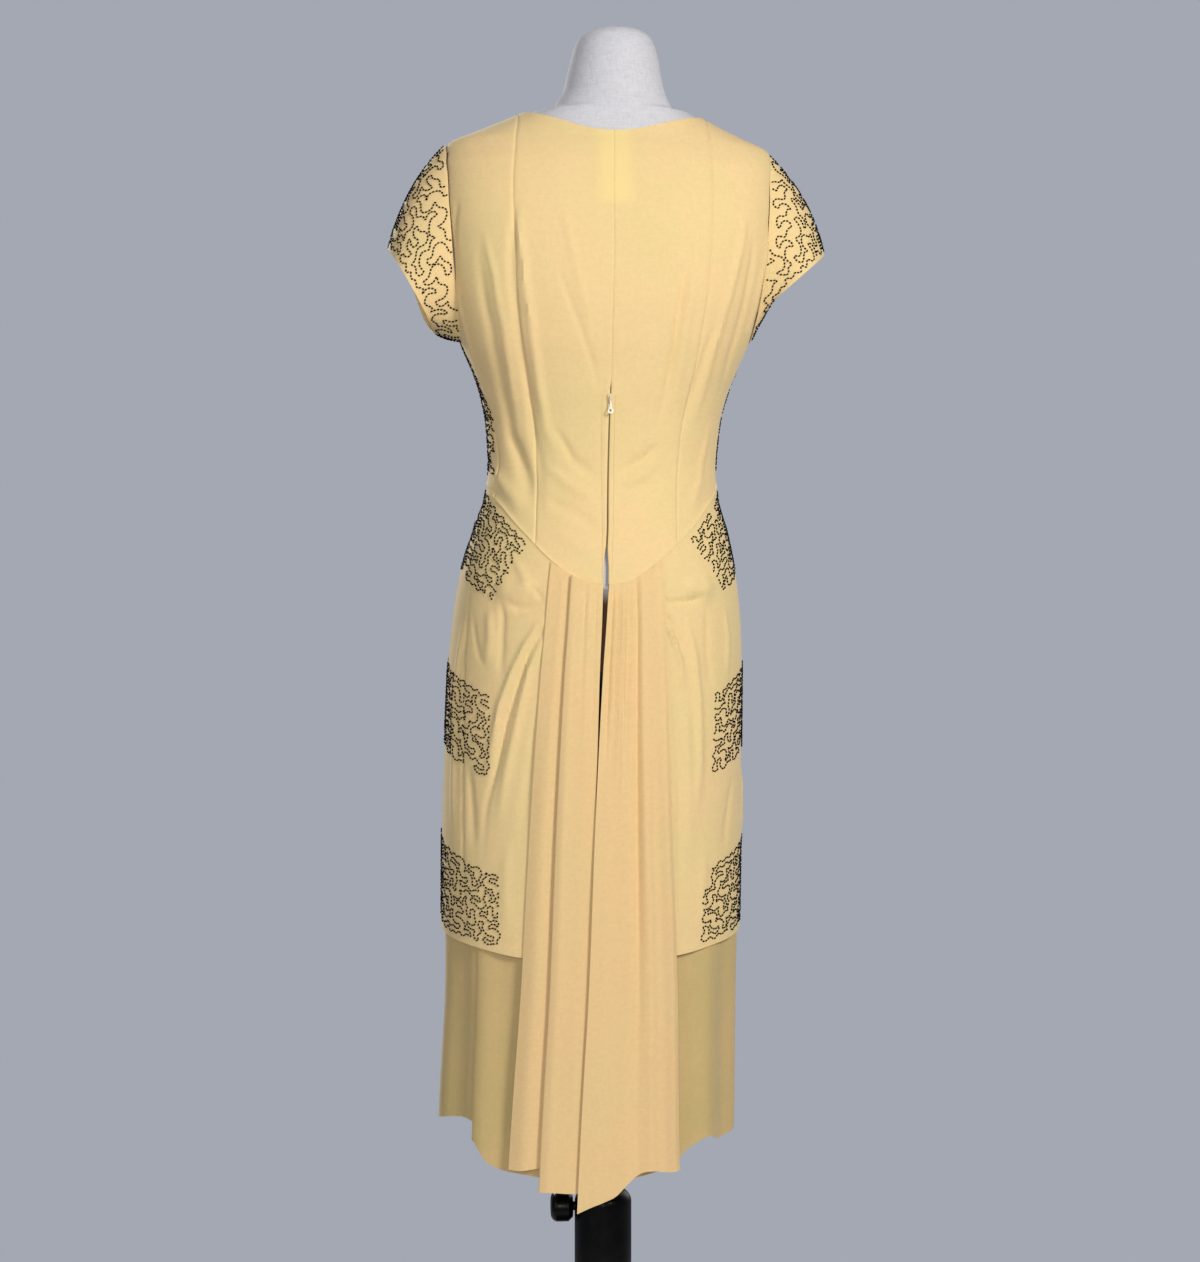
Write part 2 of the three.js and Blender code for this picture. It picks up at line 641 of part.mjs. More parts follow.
for (const side of ["left", "right"]) {
  const turn = side === "left" ? (edge) => edge : mirrored;
  const pleats = side === "left" ? PLEATS_LEFT : PLEATS_RIGHT;
  const innerAngle = (height) => angleAcross(height, drapeOuter(height, pleats) - TUNIC_TUCK);
  const innerTop = meetHipSeam(innerAngle);
  const innerHem = tunicHemAt(TUNIC_CORNER_ANGLE);
  const back = {
    bottom: turn((s) => {
      const angle = mix(innerAngle(innerHem), TUNIC_SEAM_ANGLE, s);
      return { angle, height: tunicHemAt(angle) };
    }),
    top: turn((s) => {
      const angle = mix(innerAngle(innerTop), TUNIC_SEAM_ANGLE, s);
      return { angle, height: hipSeamAt(angle) - TUNIC_GAP };
    }),
    start: turn((t) => {
      const height = mix(innerHem, innerTop - TUNIC_GAP, t);
      return { angle: innerAngle(height), height };
    }),
    end: turn((t) => {
      const top = hipSeamAt(TUNIC_SEAM_ANGLE) - TUNIC_GAP;
      return { angle: TUNIC_SEAM_ANGLE, height: mix(tunicHemAt(TUNIC_SEAM_ANGLE), top, t) };
    }),
  };
  const tuckedUnder = (angle, height) => {
    const clear = fold(angle) - innerAngle(height);
    return tunicRelief(angle, height) * smooth(clear, CLEAR_FROM, CLEAR_TO);
  };
  addMesh(`tunic_back_${side}`, clothWall(patch(back, 12, 18), tuckedUnder), COLOURS.crepe);
}

{
  const from = TUNIC_SEAM_ANGLE + 0.2;
  const to = 360 - from;
  const vertical = (angle) => (t) => {
    const top = hipSeamAt(fold(angle)) - TUNIC_GAP;
    return { angle, height: mix(tunicHemAt(fold(angle)), top, t) };
  };
  const front = {
    bottom: (s) => vertical(mix(from, to, s))(0),
    top: (s) => vertical(mix(from, to, s))(1),
    start: vertical(from),
    end: vertical(to),
  };
  addMesh("tunic_front", clothWall(patch(front, 20, 12), flat), COLOURS.crepe);
}

// Underskirt: it hangs from the hip seam inside the tunic and the pleated panel.
// No fold stands out where the tunic lies over it.
const UNDER_TUNIC = { from: 600, to: 640 };
const TOP_DEPTH_FROM = 960;
const TOP_DEPTH_FULL = 1040;
// The edges at the back slit are this far from the centre back, at these two levels
const SLIT = { low: 1, lowAt: 640, high: 4, highAt: 940 };

function skirtRelief(angle, height) {
  const at = fold(angle);
  const grow = smooth(FOLDS_START - height, 0, FOLDS_START - FOLDS_FULL);
  let rise = 0;
  for (const wave of SKIRT_FOLDS) {
    rise += wave.rise * Math.exp(-(((at - wave.angle) / wave.width) ** 2));
  }
  const upper = smooth(height, UNDER_TUNIC.from, UNDER_TUNIC.to);
  const lift = upper > 0 ? Math.min(rise, mix(rise, 0, upper)) : rise;
  return lift * grow - skirtDepth(height);
}

// The underskirt's depth inside the body surface, shallow where it joins the seam
function skirtDepth(height) {
  return mix(SKIRT_DEPTH, SKIRT_TOP_DEPTH, smooth(height, TOP_DEPTH_FROM, TOP_DEPTH_FULL));
}

function skirtPanel(from, to, slit, relief, hemLift = () => 0) {
  const hemAt = (angle) => skirtHemAt(angle) + hemLift(angle);
  const top = (angle) => hipSeamAt(fold(angle)) - TUNIC_GAP;
  const start = slit
    ? (t) => {
        const height = mix(hemAt(Math.sign(to)), top(0), t);
        const open = mix(SLIT.low, SLIT.high, smooth(height, SLIT.lowAt, SLIT.highAt));
        return { angle: Math.sign(to) * angleAcross(height, open), height };
      }
    : (t) => ({ angle: from, height: mix(hemAt(from), top(from), t) });
  const end = (t) => ({ angle: to, height: mix(hemAt(to), top(to), t) });
  const edges = {
    bottom: (s) => {
      const angle = mix(start(0).angle, to, s);
      return { angle, height: hemAt(angle) };
    },
    top: (s) => {
      const angle = mix(start(1).angle, to, s);
      return { angle, height: top(angle) };
    },
    start,
    end,
  };
  const columns = Math.round(Math.abs(to - from) / 9);
  return clothWall(patch(edges, columns, 13), relief);
}

const SKIRT_LAP = 3.2;
const LAP_ANGLE = 9;
const LAP_START = 820;
const LAP_FULL = 620;
for (const side of ["left", "right"]) {
  const seam = SKIRT_SEAM_ANGLE[side];
  const to = side === "left" ? seam : -seam;
  // The back panel's edge goes in behind the front panel below the form
  const relief = (angle, height) => {
    const near = smooth(fold(angle), seam - LAP_ANGLE, seam);
    const low = smooth(LAP_START - height, 0, LAP_START - LAP_FULL);
    return skirtRelief(angle, height) - SKIRT_LAP * near * low;
  };
  addMesh(`skirt_back_${side}`, skirtPanel(0, to, true, relief), COLOURS.skirt);
}
{
  const from = SKIRT_SEAM_ANGLE.left + 0.2;
  const to = 360 - SKIRT_SEAM_ANGLE.right - 0.2;
  // The front panel's left edge hangs a little short of the back's
  const lift = (angle) => FRONT_HEM_LIFT * (1 - smooth(angle, from, 95));
  addMesh("skirt_front", skirtPanel(from, to, false, skirtRelief, lift), COLOURS.skirt);
}

// Pleated back panel: folded walls that lie over the tunic.
// The pleats have their full depth at this share of the way down.
const PLEAT_DEEP_BY = 0.55;

const SEAM_LEVEL = 1000;

function pleatedPanel(rows, levels) {
  const section = (t, inset) => {
    const line = rows.map((row) => {
      const across = mix(row.top, row.hem, t ** PLEAT_SPREAD);
      const rise = mix(row.topRise, row.hemRise, smooth(t, 0, PLEAT_DEEP_BY));
      return new THREE.Vector2(across, rise);
    });
    return line.map((point, i) => {
      const before = line[Math.max(0, i - 1)];
      const after = line[Math.min(line.length - 1, i + 1)];
      const one = point.clone().sub(before).normalize();
      const two = after.clone().sub(point).normalize();
      const way = one.add(two).normalize();
      const side = new THREE.Vector2(-way.y, way.x).multiplyScalar(Math.sign(rows[0].top));
      return point.clone().addScaledVector(side, inset);
    });
  };
  const face = (inset) => {
    const grid = [];
    for (let level = 0; level <= levels; level += 1) {
      const t = level / levels;
      const line = section(t, inset);
      grid.push(
        line.map((point, i) => {
          const seamAngle = angleAcross(SEAM_LEVEL, rows[i].top);
          const top = hipSeamAt(fold(seamAngle)) - DRAPE_TOP_GAP;
          const height = mix(top, rows[i].hemHeight, t);
          return bodyPoint(angleAcross(height, point.x), height, point.y);
        }),
      );
    }
    return grid;
  };
  return wallGeometry(face(0), face(CLOTH));
}

addMesh("drape_left", pleatedPanel(PLEATS_LEFT, 16), COLOURS.drape);
addMesh("drape_right", pleatedPanel(PLEATS_RIGHT, 16), COLOURS.drape);

// Zip: two tapes behind the centre back, the slider and its pull tab

for (const side of ["left", "right"]) {
  const turn = side === "left" ? (edge) => edge : mirrored;
  const edge = (across) => (t) => {
    const height = mix(ZIP_BOTTOM, ZIP_TOP, t);
    return { angle: angleAcross(height, across), height };
  };
  const inner = edge(0.25);
  const outer = edge(TAPE.width);
  const tape = {
    bottom: turn((s) => ({ angle: mix(inner(0).angle, outer(0).angle, s), height: ZIP_BOTTOM })),
    top: turn((s) => ({ angle: mix(inner(1).angle, outer(1).angle, s), height: ZIP_TOP })),
    start: turn(inner),
    end: turn(outer),
  };
  const geometry = clothWall(patch(tape, 2, 12), () => -TAPE.depth, TAPE.thick);
  addMesh(`zip_tape_${side}`, geometry, COLOURS.crepe);
}

function toSolid(geometry) {
  const bare = geometry.clone();
  bare.deleteAttribute("normal");
  bare.deleteAttribute("uv");
  const merged = mergeVertices(bare, 1e-4);
  const vertProperties = new Float32Array(merged.attributes.position.array);
  const triVerts = new Uint32Array(merged.index.array);
  return new wasm.Manifold(new wasm.Mesh({ numProp: 3, vertProperties, triVerts }));
}

function toGeometry(solid) {
  const { vertProperties, triVerts } = solid.getMesh();
  const geometry = new THREE.BufferGeometry();
  geometry.setAttribute("position", new THREE.BufferAttribute(vertProperties, 3));
  geometry.setIndex(new THREE.BufferAttribute(triVerts, 1));
  geometry.computeVertexNormals();
  return geometry;
}

// Slider's own frame: x across, y out from the cloth, z up, its origin on the bodice's face
const SLIDER_HEIGHT = 1183;
const sliderSeat = bodyPoint(0, SLIDER_HEIGHT, 0.3);
const sliderLean = Math.atan2(
  bodySurface(0, SLIDER_HEIGHT + 6).y - bodySurface(0, SLIDER_HEIGHT - 6).y,
  12,
);
const barOut = SLIDER.deep + 1.3;

function placeOnZip(mesh) {
  mesh.position.copy(sliderSeat);
  mesh.rotation.x = -sliderLean;
}

{
  const plate = new THREE.Shape();
  const half = SLIDER.width / 2;
  plate.moveTo(-half * 0.55, -SLIDER.height / 2);
  plate.lineTo(half * 0.55, -SLIDER.height / 2);
  plate.lineTo(half, SLIDER.height * 0.2);
  plate.lineTo(half * 0.7, SLIDER.height / 2);
  plate.lineTo(-half * 0.7, SLIDER.height / 2);
  plate.lineTo(-half, SLIDER.height * 0.2);
  plate.closePath();
  const body = new THREE.ExtrudeGeometry(plate, { depth: SLIDER.deep, bevelEnabled: false });
  body.rotateX(Math.PI / 2);
  body.translate(0, SLIDER.deep, 0);
  const arch = new THREE.Shape();
  arch.moveTo(-3.2, -0.5);
  arch.lineTo(3.2, -0.5);
  arch.lineTo(2.4, SLIDER.bridgeOut);
  arch.lineTo(-2.4, SLIDER.bridgeOut);
  arch.closePath();
  const eye = new THREE.Path();
  eye.absarc(0, 1.3, 0.95, 0, 2 * Math.PI, true);
  arch.holes.push(eye);
  const bridge = new THREE.ExtrudeGeometry(arch, {
    depth: SLIDER.bridge,
    bevelEnabled: false,
    curveSegments: 8,
  });
  bridge.translate(0, 0, -SLIDER.bridge / 2);
  bridge.applyMatrix4(
    new THREE.Matrix4().makeBasis(
      new THREE.Vector3(0, 0, 1),
      new THREE.Vector3(0, 1, 0),
      new THREE.Vector3(-1, 0, 0),
    ),
  );
  bridge.translate(0, SLIDER.deep, 0);
  const solid = toSolid(body).add(toSolid(bridge));
  const slider = addMesh("zip_slider", toGeometry(solid), COLOURS.metal, 0.35, 0.8);
  placeOnZip(slider);
}

{
  const half = PULL.width / 2;
  const tab = new THREE.Shape();
  tab.moveTo(-half * 0.8, PULL.bar / 2);
  tab.lineTo(-half, -4);
  tab.lineTo(-half * 0.8, -PULL.length + half);
  tab.absarc(0, -PULL.length + half, half * 0.8, Math.PI, 2 * Math.PI, false);
  tab.lineTo(half, -4);
  tab.lineTo(half * 0.8, PULL.bar / 2);
  tab.closePath();
  const window = new THREE.Path();
  window.moveTo(-PULL.window / 2, -PULL.bar / 2);
  window.lineTo(PULL.window / 2, -PULL.bar / 2);
  window.lineTo(PULL.window / 2, -3.6);
  window.lineTo(-PULL.window / 2, -3.6);
  window.closePath();
  const hole = new THREE.Path();
  hole.absarc(0, -PULL.length + half + 0.4, PULL.hole, 0, 2 * Math.PI, true);
  tab.holes.push(window, hole);
  const geometry = new THREE.ExtrudeGeometry(tab, {
    depth: PULL.thick,
    bevelEnabled: false,
    curveSegments: 8,
  });
  geometry.rotateX(Math.PI / 2);
  geometry.translate(0, PULL.thick / 2, 0);
  // The tab hangs straight down from the bridge's eye
  const eye = new THREE.Vector3(0, barOut, 0).applyAxisAngle(new THREE.Vector3(1, 0, 0), -sliderLean);
  addMesh("zip_pull", geometry, COLOURS.metal, 0.4, 0.2).position.copy(sliderSeat).add(eye);
}

// Dress form: body with neck, and its stand.
// Between these levels the form comes closer to the cloth on the shoulders.
const SHALLOW_FROM = 1370;
const SHALLOW_FULL = 1445;

{
  const columns = 28;
  const levels = [];
  const levelStep = 34;
  for (let height = FORM_BOTTOM; height < SHOULDER_POINT - 20; height += levelStep) levels.push(height);
  levels.push(1450, 1462, 1470, 1480, 1492, 1501);
  const rings = levels.map((height) => {
    const depth = mix(FORM_DEPTH, FORM_SHOULDER_DEPTH, smooth(height, SHALLOW_FROM, SHALLOW_FULL));
    const ring = [];
    for (let i = 0; i < columns; i += 1) {
      const point = bodyPoint((360 * i) / columns, height, -depth);
      if (height === FORM_BOTTOM) point.z = FORM_BOTTOM;
      ring.push(point);
    }
    return ring;
  });
  for (const { height, half, back, front, shift } of NECK) {
    const ring = [];
    for (let i = 0; i < columns; i += 1) {
      const angle = radians((360 * i) / columns);
      const depth = Math.cos(angle) > 0 ? back : front;
      ring.push(new THREE.Vector3(shift + half * Math.sin(angle), depth * Math.cos(angle), height));
    }
    rings.push(ring);
  }
  const points = rings.flat();
  const bottom = points.push(new THREE.Vector3(bodyAt.shift(FORM_BOTTOM), 0, FORM_BOTTOM)) - 1;
  const top = points.push(new THREE.Vector3(NECK.at(-1).shift, 0, NECK_TOP)) - 1;
  const faces = [];
  const last = (rings.length - 1) * columns;
  for (let i = 0; i < columns; i += 1) {
    const next = (i + 1) % columns;
    for (let row = 0; row < last; row += columns) {
      faces.push(row + i, row + next, row + columns + next);
      faces.push(row + i, row + columns + next, row + columns + i);
    }
    faces.push(bottom, next, i);
    faces.push(top, last + i, last + next);
  }
  addMesh("form_body", facingOut(points, faces), COLOURS.form, 0.9);
}

// A solid turned about +Z from a closed outline of radius and height
function turned(outline, sides = ROUND_SIDES) {
  const profile = outline.map(([radius, height]) => new THREE.Vector2(radius, height));
  const geometry = new THREE.LatheGeometry(profile, sides);
  geometry.rotateX(Math.PI / 2);
  return geometry;
}

function roundedCorner(radius, height, round, steps = 4) {
  const points = [];
  for (let i = 0; i <= steps; i += 1) {
    const turn = (Math.PI / 2) * (i / steps);
    points.push([
      radius - round + round * Math.cos(turn),
      height - round + round * Math.sin(turn),
    ]);
  }
  return points;
}

const POLE_TOP = FORM_BOTTOM - 0.3;
addMesh(
  "form_pole",
  turned([[0, POLE.bottom], [POLE.radius, POLE.bottom], [POLE.radius, POLE_TOP], [0, POLE_TOP]], 20),
  COLOURS.stand,
  0.25,
  0.3,
);

{
  const outline = [
    [0, HUB.bottom],
    [HUB.radius, HUB.bottom],
    ...roundedCorner(HUB.radius, HUB.top, HUB.round),
    [HUB.bore, HUB.top],
    [HUB.bore, HUB.floor],
    [0, HUB.floor],
  ];
  const hole = new THREE.CylinderGeometry(KNOB.hole, KNOB.hole, 40, 12);
  hole.rotateZ(Math.PI / 2);
  hole.translate(30, 0, KNOB.height);
  const column = toSolid(turned(outline)).subtract(toSolid(hole));
  addMesh("form_hub", toGeometry(column), COLOURS.stand, 0.2, 0.2);
}

{
  const stemEnd = POLE.radius + 0.5;
  const outline = [
    [0, stemEnd],
    [KNOB.stem, stemEnd],
    [KNOB.stem, KNOB.from],
    [KNOB.radius - 5, KNOB.from],
    [KNOB.radius, KNOB.from + 5],
    ...roundedCorner(KNOB.radius, KNOB.to, 8),
    [0, KNOB.to],
  ];
  const knob = turned(outline, 20);
  knob.rotateY(Math.PI / 2);
  knob.translate(0, 0, KNOB.height);
  addMesh("form_knob", knob, COLOURS.stand, 0.2, 0.2);
}

addMesh(
  "form_base",
  turned(
    [[0, 0], [BASE.radius, 0], ...roundedCorner(BASE.radius, BASE.thick, BASE.rim), [0, BASE.thick]],
    40,
  ),
  COLOURS.stand,
  0.25,
  0.2,
);

export default part;
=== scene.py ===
# Beaded crepe cocktail dress with a zipped back, on a limbless dress form.
# Tables are in millimetres and degrees: angle 0 is the centre back, 90 the wearer's left side,
# 180 the centre front; the wearer's right is negative or counts on to 360.
import math
import random

import bpy
import numpy as np
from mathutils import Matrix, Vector


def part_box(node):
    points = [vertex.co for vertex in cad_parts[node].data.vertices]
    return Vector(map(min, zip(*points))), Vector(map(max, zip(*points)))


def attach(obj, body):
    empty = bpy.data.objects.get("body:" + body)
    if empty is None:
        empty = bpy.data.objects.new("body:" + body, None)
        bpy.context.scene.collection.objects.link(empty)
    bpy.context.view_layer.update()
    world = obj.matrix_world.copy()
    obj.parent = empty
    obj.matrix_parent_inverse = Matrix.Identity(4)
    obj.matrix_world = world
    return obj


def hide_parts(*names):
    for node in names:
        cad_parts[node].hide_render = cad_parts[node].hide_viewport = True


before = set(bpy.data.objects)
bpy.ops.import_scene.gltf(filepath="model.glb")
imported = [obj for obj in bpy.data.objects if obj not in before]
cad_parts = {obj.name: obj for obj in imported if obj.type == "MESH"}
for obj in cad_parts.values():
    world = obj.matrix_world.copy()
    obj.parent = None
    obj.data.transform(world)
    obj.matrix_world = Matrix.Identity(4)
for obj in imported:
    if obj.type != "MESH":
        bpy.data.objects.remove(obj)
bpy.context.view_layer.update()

MM = 0.001
THICK = 0.9  # thickness of the cloth shells
SIDES = (1, "left"), (-1, "right")
SKIRT_DEPTH, SKIRT_TOP_DEPTH = 4.2, 3.7
FORM_DEPTH, FORM_SHOULDER_DEPTH = 8.3, 5.0
NECK_CORNER, SHOULDER_POINT, BACK_NECK, FRONT_NECK = 1502, 1469, 1475, 1428
FORM_BOTTOM = 888
SHOULDER_DROP, DROP_REACH, DROP_FROM, DROP_TO = 5, 170, 1330, 1450  # lower right shoulder
ZIP_TOP, ZIP_BOTTOM = 1192, 1022

BODY = [  # height, half width, depth at the back, at the front, squareness, shift across
    (300, 169.5, 123, 122, 2.15, 22), (385, 168.5, 122, 121, 2.15, 20), (450, 167.5, 121.5, 120.5, 2.15, 18),
    (538, 166, 121, 120, 2.15, 15), (600, 167, 121, 119.5, 2.15, 14), (700, 167.5, 121, 118.5, 2.15, 13),
    (807, 166, 121, 117, 2.15, 11), (888, 164.5, 120, 115, 2.15, 9), (942, 161, 118.5, 111, 2.15, 7),
    (982, 156, 115, 108, 2.15, 6), (1012, 149.5, 109, 104.5, 2.15, 5), (1042, 141, 101, 101, 2.1, 3),
    (1076, 130.5, 91, 96.5, 2.1, 2), (1112, 127, 85, 94, 2.1, 1), (1157, 130, 88, 102, 2.15, 0),
    (1190, 137, 93, 113, 2.2, -1), (1216, 146, 97, 123, 2.3, -2), (1250, 160, 103, 134, 2.4, -2),
    (1300, 175, 107, 130, 2.6, -3), (1350, 184, 105.5, 114, 2.75, -4), (1400, 188, 98, 96, 2.75, -4),
    (1440, 188, 86, 80, 2.5, -5), (1460, 184, 77, 70, 2.2, -6), (1469, 178, 72, 65, 2.1, -6),
    (1480, 154, 67, 60, 2.05, -7), (1492, 126, 63, 55, 2, -8), (1502, 104, 60, 52, 2, -9),
]
NECK = [  # height, half width, back, front, shift
    (1508, 68, 56, 49, -11), (1517, 63, 54, 49, -11), (1528, 57, 52.5, 49.5, -12), (1545, 53, 51, 49, -12),
    (1568, 48, 47, 45, -13), (1585, 42, 41, 39, -13), (1595, 32, 31, 30, -13), (1599, 16, 15.5, 15, -13),
]
HIP_SEAM = [  # angle, height
    (0, 982), (9, 983.5), (18, 991), (28, 1005), (48, 1039), (70, 1073), (90, 1093), (120, 1084),
    (150, 1062), (180, 1048),
]
PRINCESS = [  # height, across
    (1020, 77), (1076, 77), (1143, 80), (1188, 88), (1244, 97), (1300, 104), (1412, 108), (1502, 104),
]
CENTRE_BACK = [  # height, across
    (960, 3.2), (1000, 2.8), (1024, 1.1), (1180, 0.8), (1192, 0.7), (1203, 0.05), (1480, 0.05),
]
ARM_MIDDLE, ARM_HEIGHT, ARM_HALF_DEPTH, ARM_HALF_HEIGHT = -2, 1360, 57, 109
SIDE_SEAM = {1: 73, -1: 81}
SLEEVES = {1: (243, 1351, 193, 1262), -1: (244, 1350, 174, 1288)}  # cuff tip out, up; low point out, up
TUNIC_SEAM = 88
TUNIC_HEM = [  # angle, height
    (0, 578), (35, 580), (60, 589), (80, 597), (95, 606), (130, 618), (180, 624),
]
SKIRT_SEAM = {1: 58, -1: 84}
SKIRT_HEM = [  # angle, height on the left, on the right
    (0, 340, 338), (30, 345, 345), (42, 347, 353), (50, 354, 369), (58, 378, 377), (68, 383, 369),
    (80, 385, 374), (92, 386, 386), (180, 388, 388),
]
FRONT_HEM_LIFT = 19


def curve(rows, column=1):
    """A smooth curve through one column of a table, without overshoot between its rows."""
    x = np.array([r[0] for r in rows], float)
    y = np.array([r[column] for r in rows], float)
    step = np.diff(y) / np.diff(x)
    slope = np.concatenate([step[:1], step[1:], step[-1:]])
    for i in range(1, len(x) - 1):
        product = step[i - 1] * step[i]
        slope[i] = 0 if product <= 0 else 2 * product / (step[i - 1] + step[i])

    def at(value):
        v = np.clip(np.asarray(value, float), x[0], x[-1])
        i = np.clip(np.searchsorted(x, v, "right") - 1, 0, len(x) - 2)
        w = x[i + 1] - x[i]
        t = (v - x[i]) / w
        a = (1 + 2 * t) * (1 - t) ** 2 * y[i] + t * (1 - t) ** 2 * w * slope[i]
        return a + t * t * (3 - 2 * t) * y[i + 1] + t * t * (t - 1) * w * slope[i + 1]

    return at


HALF, BACK, FRONT, SQUARE, SHIFT = (curve(BODY, k) for k in range(1, 6))
HIP = curve(HIP_SEAM)
PRINCESS_AT, CENTRE_AT, TUNIC_HEM_AT = curve(PRINCESS), curve(CENTRE_BACK), curve(TUNIC_HEM)
SKIRT_HEM_LEFT, SKIRT_HEM_RIGHT = curve(SKIRT_HEM, 1), curve(SKIRT_HEM, 2)


def smooth(x, a, b):
    t = np.clip((np.asarray(x, float) - a) / (b - a), 0, 1)
    return t * t * (3 - 2 * t)


def mix(a, b, t):
    return a + (b - a) * t


def fold(angle):
    angle = np.abs(angle)
    return np.where(angle > 180, 360 - angle, angle)


def skirt_hem(angle):
    on_right = (np.asarray(angle) < 0) | (np.asarray(angle) > 180)
    return np.where(on_right, SKIRT_HEM_RIGHT(fold(angle)), SKIRT_HEM_LEFT(fold(angle)))


def surface(angle, height):
    angle, height = np.broadcast_arrays(np.asarray(angle, float), np.asarray(height, float))
    sine, cosine = np.sin(np.radians(angle)), np.cos(np.radians(angle))
    power = SQUARE(height)
    depth = np.where(cosine >= 0, BACK(height), FRONT(height))
    radius = (np.abs(sine / HALF(height)) ** power + np.abs(cosine / depth) ** power) ** (-1 / power)
    x = radius * sine
    drop = SHOULDER_DROP * smooth(-x, 0, DROP_REACH) * smooth(height, DROP_FROM, DROP_TO)
    return np.stack([SHIFT(height) + x, radius * cosine, height - drop], -1)


def unit(v):
    return v / np.maximum(np.linalg.norm(v, axis=-1, keepdims=True), 1e-9)


def normal(angle, height):
    around = surface(angle + 0.5, height) - surface(angle - 0.5, height)
    up = surface(angle, height + 1) - surface(angle, height - 1)
    return unit(np.cross(up, around))


def point(angle, height, out):
    return surface(angle, height) + normal(angle, height) * np.asarray(out, float)[..., None]


def find_angle(low, high, test):
    """The angle between low and high where test changes sign, for many points at once."""
    sign = np.sign(test(low))
    for _ in range(26):
        middle = (low + high) / 2
        same = np.sign(test(middle)) == sign
        low, high = np.where(same, middle, low), np.where(same, high, middle)
    return (low + high) / 2


WIDEST = 0.9999  # share of the half width that a place across can reach


def angle_across(height, across):
    height, across = np.broadcast_arrays(np.asarray(height, float), np.asarray(across, float))
    reach = np.minimum(np.abs(across), HALF(height) * WIDEST)
    found = find_angle(np.zeros(height.shape), np.full(height.shape, 90.0),
                       lambda a: surface(a, height)[..., 0] - SHIFT(height) - reach)
    return np.sign(across) * found


def angle_at_depth(height, depth):
    height, depth = np.broadcast_arrays(np.asarray(height, float), np.asarray(depth, float))
    return find_angle(np.zeros(height.shape), np.full(height.shape, 180.0),
                      lambda a: surface(a, height)[..., 1] - depth)


def armhole_angle(height, front):
    up = (height - ARM_HEIGHT) / ARM_HALF_HEIGHT
    reach = ARM_HALF_DEPTH * np.sqrt(np.maximum(0, 1 - up * up))
    return angle_at_depth(height, ARM_MIDDLE + (-reach if front else reach))


# Meshes

def mesh_object(name, points, faces, material, smooth_angle=40):
    """An object from points in millimetres and lists of faces."""
    mesh = bpy.data.meshes.new(name)
    loops = np.concatenate([np.asarray(f, np.int32).ravel() for f in faces])
    sizes = np.concatenate([np.full(len(f), np.asarray(f).shape[1], np.int32) for f in faces])
    mesh.vertices.add(len(points))
    mesh.vertices.foreach_set("co", (np.asarray(points, float) * MM).astype(np.float32).ravel())
    mesh.loops.add(len(loops))
    mesh.loops.foreach_set("vertex_index", loops)
    mesh.polygons.add(len(sizes))
    mesh.polygons.foreach_set("loop_start", np.concatenate([[0], np.cumsum(sizes)[:-1]]).astype(np.int32))
    mesh.polygons.foreach_set("loop_total", sizes)
    mesh.update(calc_edges=True)
    mesh.validate()
    mesh.polygons.foreach_set("use_smooth", np.ones(len(mesh.polygons), bool))
    mesh.set_sharp_from_angle(angle=math.radians(smooth_angle))
    mesh.materials.append(material)
    obj = bpy.data.objects.new(name, mesh)
    bpy.context.scene.collection.objects.link(obj)
    return obj


def grid_faces(rows, columns, start=0, wrap=False):
    r, c = np.meshgrid(np.arange(rows - 1), np.arange(columns if wrap else columns - 1), indexing="ij")
    n = (c + 1) % columns
    faces = np.stack([r * columns + c, r * columns + n, (r + 1) * columns + n, (r + 1) * columns + c], -1)
    return faces.reshape(-1, 4) + start


def wall(name, outer, inner, material, tube=False):
    """A closed thin shell between an outer and an inner grid of points."""
    rows, columns = outer.shape[:2]
    points = np.concatenate([outer.reshape(-1, 3), inner.reshape(-1, 3)])
    size = rows * columns
    faces = [grid_faces(rows, columns, 0, tube), grid_faces(rows, columns, size, tube)[:, ::-1]]
    line = np.arange(columns)
    rims = [(line, False), ((rows - 1) * columns + line, True)]
    if not tube:
        side = np.arange(rows) * columns
        rims += [(side, True), (side + columns - 1, False)]
    for index, turn in rims:
        a, b = index, np.roll(index, -1)
        if not (tube and len(index) == columns):
            a, b = a[:-1], b[:-1]
        quad = np.stack([a, a + size, b + size, b], -1)
        faces.append(quad[:, ::-1] if turn else quad)
    area = np.cross(outer[1:, 1:] - outer[:-1, :-1], outer[1:, :-1] - outer[:-1, 1:])
    middle = (outer[1:, 1:] + outer[:-1, :-1]) / 2
    away = middle - (inner[1:, 1:] + inner[:-1, :-1]) / 2
    if (area * away).sum() > 0:
        faces = [f[:, ::-1] for f in faces]
    return mesh_object(f"{name}_cloth", points, faces, material)


LEAST_FILL = 0.301  # share of its width by length that a cut is taken to cover at least


def cloth(obj, grid, nodes, tube=False):
    """Attaches a shell to the form, hides its CAD parts and prints the flat size and area that its outer grid
    measures.
    """
    g = grid * MM
    if tube:
        g = np.concatenate([g, g[:, :1]], 1)
    across = np.linalg.norm(np.diff(g, axis=1), axis=-1).sum(1)
    along = np.linalg.norm(np.diff(g, axis=0), axis=-1).sum(0)
    area = 0.5 * np.linalg.norm(np.cross(g[1:, 1:] - g[:-1, :-1], g[1:, :-1] - g[:-1, 1:]), axis=-1).sum()
    width, length = float(across.max()), float(along.max())
    area = min(max(float(area), LEAST_FILL * width * length), width * length)
    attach(obj, "form")
    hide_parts(*nodes)
    print(f"SHEET {obj.name} flat {width:.3f} x {length:.3f} m, area {area:.4f} m2")


EDGE_PLACES, EDGE_REACH = (0, 0.5, 1.2, 2.2, 3.8, 6.5), 9.5


